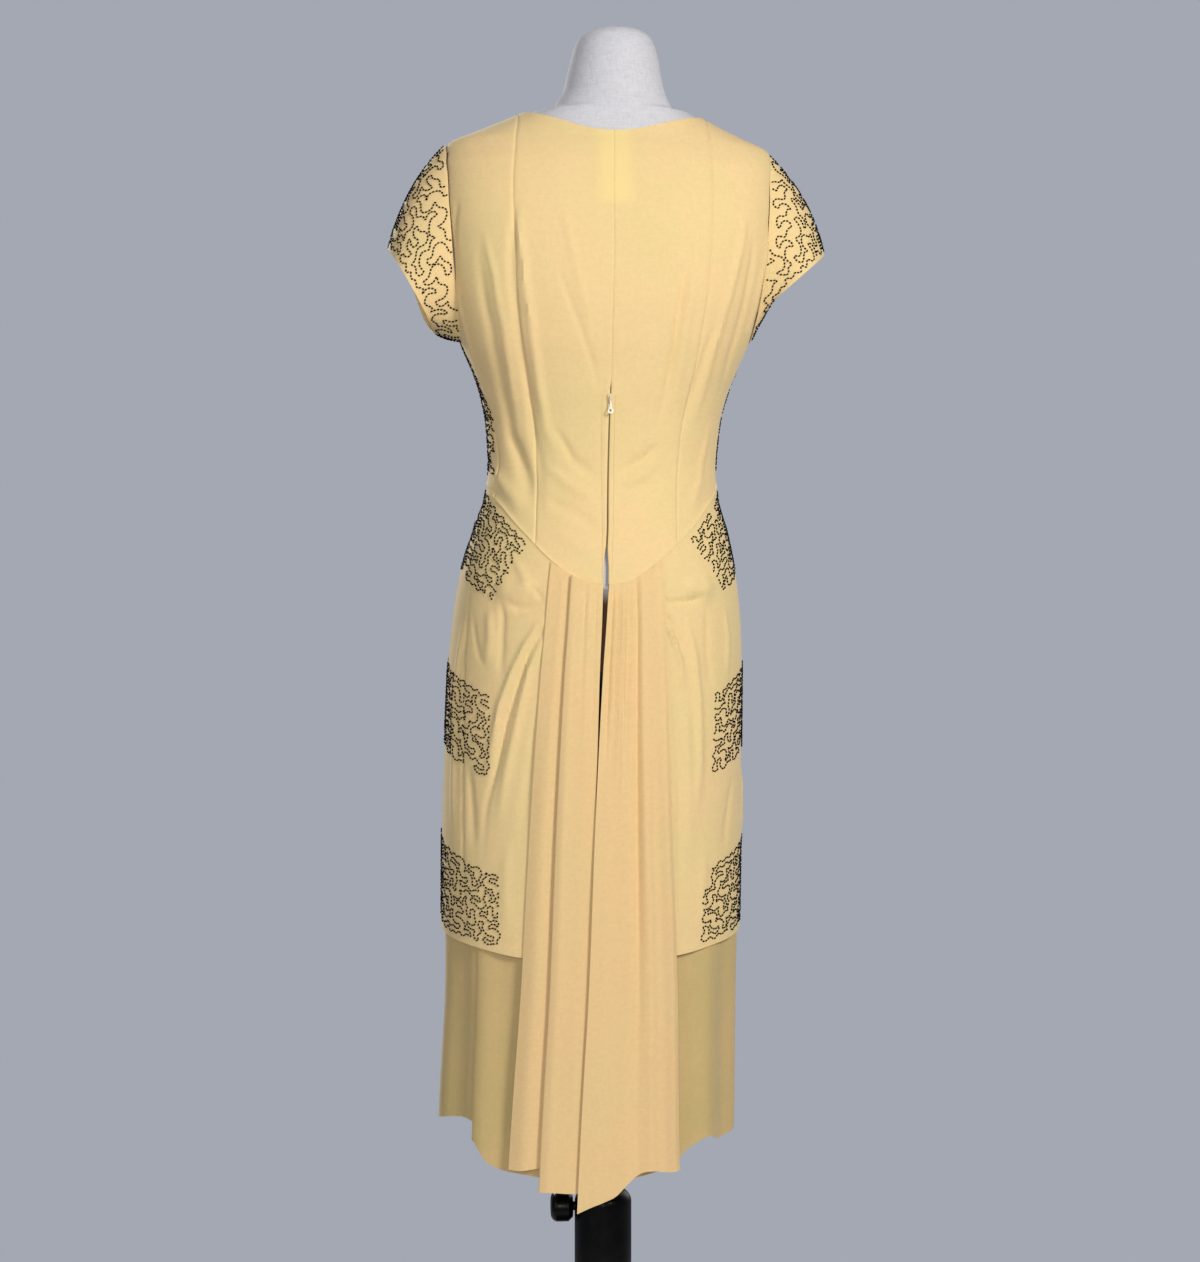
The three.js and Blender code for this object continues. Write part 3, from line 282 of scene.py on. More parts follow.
def spaced(count, length):
    """Places from 0 to 1, close together near both ends, for an edge of that length."""
    inner = np.linspace(EDGE_REACH / length, 1 - EDGE_REACH / length, count)
    near = np.array(EDGE_PLACES) / length
    return np.concatenate([near, inner, 1 - near[::-1]])


def patch(edges, s, t, lower=1, upper=1):
    """Angles and heights between four edges; the bend of the lower and upper edge dies away."""
    bottom, top, start, end = edges
    zero, one = np.array([0.0]), np.array([1.0])
    made = []
    for k in (0, 1):
        bend = []
        for edge in (bottom, top):
            a, b = edge(zero)[k][0], edge(one)[k][0]
            bend.append(edge(s)[k] - (a + (b - a) * s))
        first, last = start(t)[k][:, None], end(t)[k][:, None]
        low, high = ((1 - t) ** lower)[:, None], (t**upper)[:, None]
        made.append(first + (last - first) * s[None, :] + low * bend[0] + high * bend[1])
    return made


def both(angle, height, like):
    return np.broadcast_to(angle, like.shape).astype(float), np.broadcast_to(height, like.shape).astype(float)


def edge_distance(flat):
    """Distance along the cloth from each of the four edges of a grid, in millimetres."""
    across = np.linalg.norm(np.diff(flat, axis=1), axis=-1)
    along = np.linalg.norm(np.diff(flat, axis=0), axis=-1)
    start = np.concatenate([np.zeros((flat.shape[0], 1)), across.cumsum(1)], 1)
    bottom = np.concatenate([np.zeros((1, flat.shape[1])), along.cumsum(0)], 0)
    return {"start": start, "end": start[:, -1:] - start, "bottom": bottom, "top": bottom[-1:] - bottom}


SEWN = -1.0, 1.7  # depth and width of the dip along a seam
CENTRE_SEAM = -0.5, 1.0
UNDER = 0.5, 1.5  # the top of the tunic under that edge
LAPPED = 1.15, 2.8  # the edge of the bodice, which lies over the skirts
DEGREE = 2.6  # length of one degree round the body, about


def creases(table, angle, height):
    """Soft ridges (rise above 0) and troughs (below 0) along lines of (angle, height) points."""
    total = np.zeros(np.broadcast(angle, height).shape)
    reach = HALF(height) * math.radians(1)
    for width, rise, *line in table:
        lengths = [math.hypot((a1 - a0) * DEGREE, h1 - h0) for (a0, h0), (a1, h1) in zip(line, line[1:])]
        nearest, place, run = np.full(total.shape, 1e9), np.zeros(total.shape), 0.0
        for (a0, h0), (a1, h1), length in zip(line, line[1:], lengths):
            dx, dz = (a1 - a0) * reach, h1 - h0
            px, pz = (angle - a0) * reach, height - h0
            along = np.clip((px * dx + pz * dz) / (dx * dx + dz * dz), 0, 1)
            off = np.hypot(px - along * dx, pz - along * dz)
            place = np.where(off < nearest, (run + along * length) / sum(lengths), place)
            nearest = np.minimum(off, nearest)
            run += length
        fade = smooth(place, -0.1, 0.22) * smooth(1 - place, -0.08, 0.35)
        total += rise * fade * np.exp(-((nearest / (width * mix(0.8, 1.35, place))) ** 2))
    return total


# Materials

class Nodes:
    """Short calls for building one material's node tree."""

    def __init__(self, name):
        self.material = bpy.data.materials.new(name)
        self.material.use_nodes = True
        self.tree = self.material.node_tree
        self.shader = self.tree.nodes["Principled BSDF"]
        self.place = self.add("ShaderNodeTexCoord").outputs["Object"]

    def add(self, kind, **values):
        node = self.tree.nodes.new(kind)
        for key, value in values.items():
            setattr(node, key, value)
        return node

    def link(self, source, target):
        self.tree.links.new(source, target)

    def noise(self, scale, detail=2, stretch=None, rough=0.5):
        node = self.add("ShaderNodeTexNoise")
        node.inputs["Scale"].default_value = scale
        node.inputs["Detail"].default_value = detail
        node.inputs["Roughness"].default_value = rough
        source = self.place
        if stretch:
            mapping = self.add("ShaderNodeMapping")
            mapping.inputs["Scale"].default_value = stretch
            self.link(source, mapping.inputs["Vector"])
            source = mapping.outputs["Vector"]
        self.link(source, node.inputs["Vector"])
        return node.outputs["Fac"]

    def wave(self, scale, direction, distortion=0.6):
        node = self.add("ShaderNodeTexWave", bands_direction=direction)
        node.inputs["Scale"].default_value = scale
        node.inputs["Distortion"].default_value = distortion
        node.inputs["Detail"].default_value = 1
        node.inputs["Detail Scale"].default_value = 3
        self.link(self.place, node.inputs["Vector"])
        return node.outputs["Fac"]

    def math(self, operation, a, b):
        node = self.add("ShaderNodeMath", operation=operation)
        for socket, value in zip(node.inputs, (a, b)):
            if isinstance(value, (int, float)):
                socket.default_value = value
            else:
                self.link(value, socket)
        return node.outputs[0]

    def spread(self, value, low, high, to_low=0.0, to_high=1.0):
        node = self.add("ShaderNodeMapRange", interpolation_type="SMOOTHSTEP")
        for key, number in (("From Min", low), ("From Max", high), ("To Min", to_low), ("To Max", to_high)):
            node.inputs[key].default_value = number
        self.link(value, node.inputs["Value"])
        return node.outputs[0]

    def blend(self, factor, a, b):
        node = self.add("ShaderNodeMix", data_type="RGBA")
        for socket, value in ((node.inputs[0], factor), (node.inputs[6], a), (node.inputs[7], b)):
            if isinstance(value, tuple):
                socket.default_value = (*value, 1)
            elif isinstance(value, (int, float)):
                socket.default_value = value
            else:
                self.link(value, socket)
        return node.outputs[2]

    def axis(self, index):
        node = self.add("ShaderNodeSeparateXYZ")
        self.link(self.place, node.inputs[0])
        return node.outputs[index]

    def bump(self, height, strength, distance):
        node = self.add("ShaderNodeBump")
        node.inputs["Strength"].default_value = strength
        node.inputs["Distance"].default_value = distance
        self.link(height, node.inputs["Height"])
        if self.shader.inputs["Normal"].is_linked:
            self.link(self.shader.inputs["Normal"].links[0].from_socket, node.inputs["Normal"])
        self.link(node.outputs["Normal"], self.shader.inputs["Normal"])

    def set(self, **values):
        for key, value in values.items():
            socket = self.shader.inputs[key.replace("_", " ")]
            socket.default_value = (*value, 1) if isinstance(value, tuple) else value


def rgb(*levels):
    """Linear colour from 8-bit red, green and blue."""
    return tuple(c / 255 / 12.92 if c <= 10 else ((c / 255 + 0.055) / 1.055) ** 2.4 for c in levels)


def shade(colour, factor, lift=0.0):
    """The colour times a factor, no brighter than white."""
    return tuple(min(1, c * factor + lift) for c in colour)


STAIN, PALE = rgb(176, 126, 84), rgb(252, 226, 150)


def crepe(name, colour, warm, cool, spots=(), pale=None):
    """Matt rayon crepe: fine pebbled weave, faint slubs and a little uneven ageing.

    Spots are rows of x, y, z, radius, strength; pale is a patch's left, right, foot and strength.
    """
    n = Nodes(name)
    large = n.spread(n.noise(9, 3, rough=0.6), 0.36, 0.62)
    mottle = n.noise(210, 4, rough=0.75)
    warp = n.noise(1, 2, stretch=(820, 820, 45))
    weft = n.noise(1, 2, stretch=(45, 45, 820))
    base = n.blend(large, cool, warm)
    base = n.blend(0.4, base, colour)
    base = n.blend(n.spread(mottle, 0.32, 0.68, 0, 0.3), base, shade(colour, 0.82))
    for threads in (warp, weft):
        base = n.blend(n.spread(threads, 0.5, 0.74, 0, 0.1), base, shade(colour, 1.16))
        base = n.blend(n.spread(threads, 0.46, 0.28, 0, 0.08), base, shade(colour, 0.84))
    for x, y, z, radius, strength in spots:
        node = n.add("ShaderNodeVectorMath", operation="DISTANCE")
        n.link(n.place, node.inputs[0])
        node.inputs[1].default_value = (x * MM, y * MM, z * MM)
        base = n.blend(n.spread(node.outputs["Value"], 0, radius * MM, strength, 0), base, STAIN)
    if pale:
        x0, x1, z0, strength = (*(v * MM for v in pale[:3]), pale[3])
        x, z = n.axis(0), n.axis(2)
        soft = 0.009
        left, right = n.spread(x, x0 - soft, x0 + soft), n.spread(x, x1 - soft, x1 + soft, 1, 0)
        inside = n.math("MULTIPLY", left, right)
        inside = n.math("MULTIPLY", inside, n.spread(z, z0 - soft, z0 + soft))
        base = n.blend(n.math("MULTIPLY", inside, strength), base, PALE)
    n.link(base, n.shader.inputs["Base Color"])
    n.link(n.spread(mottle, 0.2, 0.8, 0.74, 0.9), n.shader.inputs["Roughness"])
    n.set(Sheen_Weight=0.22, Sheen_Roughness=0.45, Specular_IOR_Level=0.25)
    weave = n.math("ADD", n.wave(620, "Z"), n.wave(620, "X"))
    pebble = n.noise(1500, 2, rough=0.6)
    n.bump(n.math("ADD", n.math("MULTIPLY", weave, 0.35), pebble), 0.35, 0.00035)
    n.bump(n.noise(30, 3, stretch=(1, 1, 0.45)), 0.10, 0.004)
    return n.material


def linen(name, colour, painted_shade, painted_shade_top):
    """The form's plain woven cover, with painted shade: a dark brown band round its lower end."""
    n = Nodes(name)
    cross = n.math("MULTIPLY", n.noise(1, 2, stretch=(640, 640, 70)), n.noise(1, 2, stretch=(70, 70, 640)))
    mottle = n.noise(160, 4, rough=0.75)
    base = n.blend(n.spread(cross, 0.14, 0.32, 0.4, 0), colour, shade(colour, 0.74))
    base = n.blend(n.spread(mottle, 0.35, 0.7, 0, 0.45), base, shade(colour, 1.12))
    base = n.blend(n.spread(n.axis(2), (painted_shade_top - 16) * MM, painted_shade_top * MM, 1, 0), base, painted_shade)
    n.link(base, n.shader.inputs["Base Color"])
    n.link(n.spread(mottle, 0.3, 0.7, 0.8, 0.95), n.shader.inputs["Roughness"])
    n.set(Specular_IOR_Level=0.2, Sheen_Weight=0.1)
    n.bump(n.math("ADD", cross, n.math("MULTIPLY", mottle, 0.6)), 0.6, 0.0006)
    return n.material


def hard(name, colour, rough, metal=0.0, coat=0.0, wear=0.1, scale=60, gloss=0.5, ior=1.5):
    """Moulded, painted or plated pieces with slight marks."""
    n = Nodes(name)
    marks = n.noise(scale, 5, rough=0.7)
    fine = n.noise(scale * 9, 3)
    n.link(n.blend(n.spread(marks, 0.5, 0.8, 0, wear), colour, shade(colour, 1.8, 0.02)),
           n.shader.inputs["Base Color"])
    n.link(n.spread(marks, 0.3, 0.75, rough * 0.8, rough * 1.5), n.shader.inputs["Roughness"])
    n.set(Metallic=metal, Coat_Weight=coat, Coat_Roughness=0.06, Specular_IOR_Level=gloss, IOR=ior)
    n.bump(fine, 0.08, 0.0004)
    return n.material


def thread(name, colour):
    n = Nodes(name)
    twist = n.wave(1700, "DIAGONAL", 0.3)
    n.link(n.blend(n.spread(twist, 0.2, 0.8, 0, 0.5), colour, shade(colour, 0.6)),
           n.shader.inputs["Base Color"])
    n.set(Roughness=0.7, Sheen_Weight=0.2)
    n.bump(twist, 0.4, 0.0001)
    return n.material


CREPE = crepe("crepe", rgb(242, 213, 155), rgb(245, 211, 152), rgb(235, 212, 148),
              spots=[(106, 88, 681, 5, 0.55), (131, 80, 694, 3.5, 0.5)], pale=(-24, 11, 1392, 0.5))
# The pleated panel's crepe is the dress crepe made peachier and slightly darker: painted warm light tone.
CREPE_DRAPE_WARM_LIT = crepe("crepe_drape", rgb(240, 206, 149), rgb(242, 203, 146), rgb(237, 206, 146))
# The underskirt's crepe is the dress crepe made darker: painted shade from the tunic and pleated panel that
# hang over it.
CREPE_SKIRT_SHADED = crepe("crepe_skirt", rgb(211, 184, 126), rgb(216, 184, 128), rgb(200, 179, 117))
# Below z 975 the form cover is painted dark brown: painted shade for the form's lower end, seen deep in the
# back slit.
FORM_COVER = linen("form_cover", rgb(209, 209, 214), rgb(112, 80, 62), 975)
GLOSS = hard("stand_gloss", rgb(4, 4, 4), 0.34, coat=0.03, wear=0.03, scale=25, gloss=0.15)
STEEL = hard("stand_steel", rgb(96, 96, 100), 0.3, metal=1.0, wear=0.2, scale=40)
ENAMEL = hard("zip_enamel", rgb(226, 208, 165), 0.38, wear=0.3, scale=900)
ZIP_METAL = hard("zip_metal", rgb(240, 238, 230), 0.34, metal=0.1, wear=0.25, scale=900)
TEETH = hard("zip_teeth", rgb(132, 108, 72), 0.4, metal=0.7, wear=0.3, scale=900)
BEAD = hard("bead", rgb(13, 10, 12), 0.6, wear=0.06, scale=700, gloss=0.3, ior=1.25)
THREAD = thread("sewing_thread", rgb(214, 186, 130))
TAPE_CLOTH = crepe("zip_tape", rgb(206, 176, 118), rgb(208, 176, 118), rgb(200, 172, 112))
SLOT_OF = {"crepe": CREPE, "crepe_drape": CREPE_DRAPE_WARM_LIT, "crepe_skirt": CREPE_SKIRT_SHADED}

# Bodice

SIDE_SHARE = 0.375
UNDERARM = ARM_HEIGHT - ARM_HALF_HEIGHT
SEAM = 0.05  # half of the gap between two sewn panels
SIDE_RADIUS = 150  # of the body at the side seams, about
CROWDING = 1.35  # brings the rows of the back panels closer together towards the top
BACK_NECK_POWER, FRONT_NECK_POWER = 2.3, 1.7


def princess_angle(height, gap=0.0):
    across = np.minimum(PRINCESS_AT(height), HALF(height) * WIDEST) - gap
    return angle_across(height, across)


def meet_hip(angle_at):
    height = np.array(1030.0)
    for _ in range(14):
        height = mix(height, HIP(fold(angle_at(height))), 0.5)
    return float(height)


def climb(t):
    return 1 - (1 - t) ** CROWDING


def side_edge(seam, front, gap):
    foot = float(HIP(seam)) + SEAM

    def at(t):
        t = np.asarray(t, float)
        up = np.clip(t / SIDE_SHARE, 0, 1)
        low_angle = mix(seam, 90, smooth(up, 0.2, 1))
        turn = math.pi * np.clip((t - SIDE_SHARE) / (1 - SIDE_SHARE), 0, 1)
        round_hole = ARM_HEIGHT - ARM_HALF_HEIGHT * np.cos(turn)
        height = np.minimum(np.where(t <= SIDE_SHARE, mix(foot, UNDERARM, up), round_hole), SHOULDER_POINT)
        high_angle = np.where(t >= 1, 90, armhole_angle(height, front))
        return np.where(t <= SIDE_SHARE, low_angle, high_angle) + math.degrees(gap / SIDE_RADIUS), height

    return at


def angle_on(edge, t):
    return float(edge(np.array([float(t)]))[0][0])


def mirrored(edge):
    return lambda v: (-edge(v)[0], edge(v)[1])


def sided(side, *edges):
    """The edges of a panel on one side of the back, given as on the wearer's left."""
    return edges if side > 0 else tuple(mirrored(edge) for edge in edges)


PRINCESS_FOOT = meet_hip(princess_angle)
CENTRE_FOOT = float(HIP(0)) + SEAM


def centre_angle(height):
    return angle_across(height, CENTRE_AT(height))


def back_neck(angle):
    return BACK_NECK + (NECK_CORNER - BACK_NECK) * np.sin(np.radians(fold(angle))) ** BACK_NECK_POWER


def front_neck(angle):
    rise = np.sin(np.radians(fold(angle))) ** FRONT_NECK_POWER
    return FRONT_NECK + (NECK_CORNER - FRONT_NECK) * rise


def princess_edge(gap):
    def at(t):
        height = mix(PRINCESS_FOOT + SEAM, NECK_CORNER, climb(np.asarray(t, float)))
        angle = princess_angle(height, gap)
        return (np.where(t >= 1, 90.0, angle) if gap <= 0 else angle), height

    return at


def centre_edge(t):
    height = mix(CENTRE_FOOT, BACK_NECK, climb(np.asarray(t, float)))
    return centre_angle(height), height


def hip_edge(low, high):
    def at(s):
        angle = mix(low, high, np.asarray(s, float))
        return angle, HIP(fold(angle)) + SEAM

    return at


# Soft folds: width, rise, then the points of the line as (angle, height)
BODICE_BACK_FOLDS = [
    (5, -2.4, (48.5, 1394), (49, 1328), (48.5, 1276), (50, 1214), (49.5, 1149), (44, 1084), (41.5, 1058)),
    (5, 2.4, (48, 1389), (44.5, 1328), (42.5, 1266), (43.5, 1197), (41.5, 1148), (34, 1114)),
    (4, 1.6, (58.5, 1358), (55.5, 1314), (54.5, 1256), (58, 1198), (58, 1150)),
    (6, -1.8, (60.5, 1341), (60.5, 1257), (64.5, 1194), (63, 1140), (51, 1084), (42.5, 1060)),
    (9, -2.4, (64, 1150), (57, 1110), (46, 1070)),
    (4, 1.4, (73.5, 1308), (75.5, 1260), (79.5, 1218), (75.5, 1176)),
    (4, -1.2, (69.5, 1398), (73, 1312)),
    (7, 2.2, (79, 1110), (63.5, 1084), (48.5, 1058)),
    (4, -0.9, (29.5, 1318), (19, 1260), (12, 1218), (7, 1184)),
    (6, 0.8, (28.5, 1383), (18, 1298), (12.5, 1254)),
    (5, -1.6, (35.5, 1149), (25, 1116), (5.5, 1095)),
    (5, 1.5, (41, 1108), (27, 1090), (5, 1071)),
    (5, -1.6, (38, 1072), (22, 1060), (4.5, 1041)),
    (6, 0.8, (30, 1038), (16.5, 1024), (3.5, 1017)),
    (4, -1.8, (-37.5, 1330), (-35.5, 1272), (-35.5, 1222), (-35.5, 1184), (-33, 1152)),
    (5, 1.0, (-41, 1320), (-40, 1256), (-41.5, 1203), (-43.5, 1161)),
    (5, -1.8, (-34.5, 1132), (-25, 1118), (-8.5, 1101)),
    (5, 1.3, (-35, 1113), (-25, 1101), (-8.5, 1088)),
    (5, -1.1, (-32.5, 1090), (-9, 1082)),
    (4, 1.5, (-61.5, 1384), (-58, 1330), (-56, 1278), (-55.5, 1234), (-57.5, 1188), (-55.5, 1156)),
    (4, -1.4, (-64, 1358), (-64.5, 1292), (-66, 1239), (-70.5, 1185)),
    (5, 1.6, (-73, 1372), (-71.5, 1316), (-73.5, 1262), (-85, 1220)),
    (4, -1.1, (-54.5, 1269), (-52, 1236), (-51.5, 1198), (-50, 1150)),
    (5, 0.9, (-68.5, 1152), (-63.5, 1096), (-52, 1058)),
]
BODICE_FRONT_FOLDS = [
    (9, -1.5, (98, 1228), (108, 1180), (116, 1120)), (10, 1.4, (122, 1250), (126, 1180), (128, 1112)),
    (11, -1.2, (150, 1225), (149, 1160), (146, 1092)), (12, 1.2, (178, 1220), (176, 1150), (172, 1095)),
    (9, -1.5, (260, 1228), (250, 1180), (241, 1118)), (10, 1.3, (236, 1250), (232, 1190), (230, 1115)),
    (11, -1.1, (206, 1230), (209, 1160), (212, 1092)), (12, 1.1, (138, 1440), (143, 1390), (151, 1330)),
    (12, -1.1, (223, 1440), (214, 1380), (208, 1320)), (8, 1.2, (99, 1325), (112, 1290), (130, 1262)),
    (8, 1.2, (261, 1325), (249, 1292), (232, 1262)), (7, -1.0, (135, 1110), (160, 1092), (188, 1088)),
]


RIGHT_DEPTH, LEFT_DEPTH = 1.7, 1.25  # how much deeper the back's folds lie than in the table


def bodice_out(angle, height):
    signed = np.where(angle > 180, angle - 360, angle)
    back = creases(BODICE_BACK_FOLDS, signed, height) * mix(RIGHT_DEPTH, LEFT_DEPTH, smooth(signed, -8, 8))
    return back + creases(BODICE_FRONT_FOLDS, angle, height)


PLACKET_RISE, PLACKET_GROOVE, PLACKET_END, PLACKET_TOP = 0.55, 0.35, 1190, 1215


def panel(name, edges, columns, rows, sizes, slot, out, seams,
          lower=1, upper=1, hem=None, placket=None):
    """A cloth panel: lays out a grid, finds how far each point stands out and makes the shell."""
    s, t = spaced(columns, sizes[0]), spaced(rows, sizes[1])
    angle, height = patch(edges, s, t, lower, upper)
    near = edge_distance(surface(angle, height))
    rise = out(angle, height)
    for edge, depth, width in seams:
        rise = rise + depth * np.exp(-((near[edge] / width) ** 2))
    if hem:
        depth, step = hem
        rise = rise + step * smooth(near["bottom"], depth + 1.2, depth - 1.2)
    if placket:
        wide = mix(*placket, smooth(height, 985, 1186)) - near["start"]
        fade = smooth(height, PLACKET_TOP, PLACKET_END)
        rise = rise + PLACKET_RISE * smooth(wide, -0.9, 0.9) * fade
        rise = rise - PLACKET_GROOVE * np.exp(-(wide**2)) * fade
    outer = point(angle, height, rise)
    inner = point(angle, height, rise - THICK)
    cloth(wall(name, outer, inner, SLOT_OF[slot]), outer, [name])


for side, word in SIDES:
    seam = SIDE_SEAM[side]
    inner_edge, outer_edge = princess_edge(2 * SEAM), princess_edge(0.0)

    def centre_top_edge(s, a=angle_on(centre_edge, 1), b=angle_on(inner_edge, 1)):
        angle = mix(a, b, np.asarray(s, float))
        return angle, mix(back_neck(angle), NECK_CORNER, smooth(s, 0.8, 1))

    centre_foot_edge = hip_edge(angle_on(centre_edge, 0), angle_on(inner_edge, 0))
    centre = sided(side, centre_foot_edge, centre_top_edge, centre_edge, inner_edge)
    panel(f"bodice_back_centre_{word}", centre, 30, 140, (95, 490), "crepe", bodice_out,
          (("start", *CENTRE_SEAM), ("end", *SEWN), ("bottom", *LAPPED)), 2, 3,
          placket=(1.4, 8.2) if side > 0 else (3.6, 4.6))

    def shoulder_edge(s):
        return both(90, 0, s)[0], mix(NECK_CORNER, SHOULDER_POINT, np.asarray(s, float))

    flank_foot_edge = hip_edge(angle_on(outer_edge, 0), seam)
    flank = sided(side, flank_foot_edge, shoulder_edge, outer_edge, side_edge(seam, False, 0))
    panel(f"bodice_back_side_{word}", flank, 26, 140, (85, 470), "crepe", bodice_out,
          (("start", *SEWN), ("end", *SEWN), ("bottom", *LAPPED), ("top", *SEWN)), 2, 3)

front_start = side_edge(SIDE_SEAM[1], True, 2 * SEAM)
front_right = side_edge(SIDE_SEAM[-1], True, 2 * SEAM)
SHOULDER_SHARE, SHOULDER_ANGLE = 3 / 20, 90.03


def front_end(t):
    angle, height = front_right(t)
    return 360 - angle, height


def front_top(s):
    s = np.asarray(s, float)
    share = SHOULDER_SHARE
    angle = mix(SHOULDER_ANGLE, 360 - SHOULDER_ANGLE, np.clip((s - share) / (1 - 2 * share), 0, 1))
    height = np.where(s < share, mix(SHOULDER_POINT, NECK_CORNER, s / share), front_neck(angle))
    return angle, np.where(s > 1 - share, mix(SHOULDER_POINT, NECK_CORNER, (1 - s) / share), height)


panel("bodice_front", (hip_edge(SIDE_SEAM[1], 360 - SIDE_SEAM[-1]), front_top, front_start, front_end),
      80, 80, (420, 470), "crepe", bodice_out, (("start", *SEWN), ("end", *SEWN), ("bottom", *LAPPED)), 2, 3)

# Cap sleeves: open tubes from the armhole to a slanted cuff
SLEEVE_LENGTH, SLEEVE_COLUMNS = 90, 120
CUFF_HALF_DEPTH, CUFF_FRONT_LIFT = 60, 14
SLEEVE_BULGE, BULGE_OUT, BULGE_UP = 11, 0.8, 0.6
NUDGE = 0.02  # step between two places on a sleeve for its slope


def sleeve_surface(side, turn, t, inset=0.3):
    """Points of a sleeve: turn goes round the armhole, t from the armhole to the cuff."""
    tip_out, tip_up, low_out, low_up = SLEEVES[side]
    sine, cosine = np.sin(turn), np.cos(turn)
    height = ARM_HEIGHT + (ARM_HALF_HEIGHT - inset) * sine
    depth = ARM_MIDDLE + (ARM_HALF_DEPTH - inset) * cosine
    seam = surface(side * angle_at_depth(height, depth), height)
    x0 = side * (seam[..., 0] - SHIFT(height))
    cuff_x = (tip_out + low_out) / 2 + (tip_out - low_out) / 2 * sine
    cuff_z = (tip_up + low_up) / 2 + (tip_up - low_up) / 2 * sine
    cuff_z = cuff_z + CUFF_FRONT_LIFT * np.maximum(0, -cosine) * smooth(sine, -0.7, 0)
    cuff_y = ARM_MIDDLE + CUFF_HALF_DEPTH * cosine
    swell = SLEEVE_BULGE * 4 * t * (1 - t) * (0.1 + 0.9 * np.maximum(0, sine))
    x = side * (mix(x0, cuff_x, t) + swell * BULGE_OUT) + float(SHIFT(ARM_HEIGHT))
    z = mix(seam[..., 2], cuff_z, t) + swell * BULGE_UP * sine
    return np.stack([x, mix(seam[..., 1], cuff_y, t), z], -1)


def sleeve_point(side, turn, t, out):
    around = sleeve_surface(side, turn + NUDGE, t) - sleeve_surface(side, turn - NUDGE, t)
    before, after = np.maximum(0, t - NUDGE), np.minimum(1, t + NUDGE)
    along = sleeve_surface(side, turn, after) - sleeve_surface(side, turn, before)
    away = unit(np.cross(along, around)) * -side
    return sleeve_surface(side, turn, t) + away * np.asarray(out, float)[..., None], away


def sleeve_out(side, turn, t):
    """A few soft folds that run from the armhole towards the cuff."""
    wave = 0.9 * np.sin(3 * turn + side * 0.7) + 0.6 * np.sin(5 * turn + 1.9 * side + 2.2 * t)
    return wave * np.sin(math.pi * np.clip(t, 0, 1)) * 0.9


for side, word in SIDES:
    turns = 2 * math.pi * (np.arange(SLEEVE_COLUMNS) / SLEEVE_COLUMNS - 0.25)
    turn_grid, t_grid = np.meshgrid(turns, spaced(16, SLEEVE_LENGTH))
    rise = sleeve_out(side, turn_grid, t_grid) - 0.4 * np.exp(-((t_grid * SLEEVE_LENGTH / 1.5) ** 2))
    rise = rise + 0.25 * smooth(t_grid, 0.9, 0.92)
    outer = sleeve_point(side, turn_grid, t_grid, rise)[0]
    inner = sleeve_point(side, turn_grid, t_grid, rise - THICK)[0]
    obj = wall(f"sleeve_{word}", outer, inner, CREPE, tube=True)
    cloth(obj, outer, [f"sleeve_{word}"], tube=True)

# Tunic

PLEATS = {  # rows: across at the top and hem, rise from the body at the top and hem, hem height
    1: [
        (58, 89, 2.6, 2.6, 352), (50, 76, 2.4, 5.5, 352), (42, 64, 2.4, 4.4, 354), (31, 49, 2.4, 2.6, 356),
        (27, 42, 2.6, 2.6, 352), (26, 40.5, 3.9, 4.4, 348), (28, 43, 5, 5.6, 342), (35, 54, 5.3, 7.4, 333),
        (36.5, 56, 6.4, 9, 331), (34, 53, 7.4, 10.2, 331), (25, 42, 7.4, 10.2, 331), (14, 26, 7.2, 8.8, 330),
        (3.2, 8, 7, 7.8, 330),
    ],
    -1: [
        (-60, -95, 2.6, 2.6, 347), (-52, -85, 2.6, 6.5, 347), (-44, -74, 4.4, 8.5, 349),
        (-39, -63, 5.6, 10.5, 351), (-35, -54, 4.6, 7.5, 350), (-31, -46, 3.4, 4.8, 345),
        (-26, -36, 4.4, 5.5, 336), (-21, -25, 5.4, 8.5, 326), (-15, -13, 5, 10.5, 321),
        (-9, 1, 5.4, 12, 316), (-3.2, 16, 6.5, 12.6, 309),
    ],
}
PLEAT_SPREAD = 0.8  # power of the way down at which the pleats fan out
DRAPE_CORNER, TUNIC_CORNER = 28, 35  # angles of the pleated panel's top corner and the tunic's hem corner
TUNIC_TUCK = 9  # how far the tunic runs in under the pleated panel


def drape_outer(height, rows):
    top = float(HIP(DRAPE_CORNER))
    t = np.clip((top - height) / (top - rows[0][4]), 0, 1)
    return np.abs(mix(rows[0][0], rows[0][1], t**PLEAT_SPREAD))


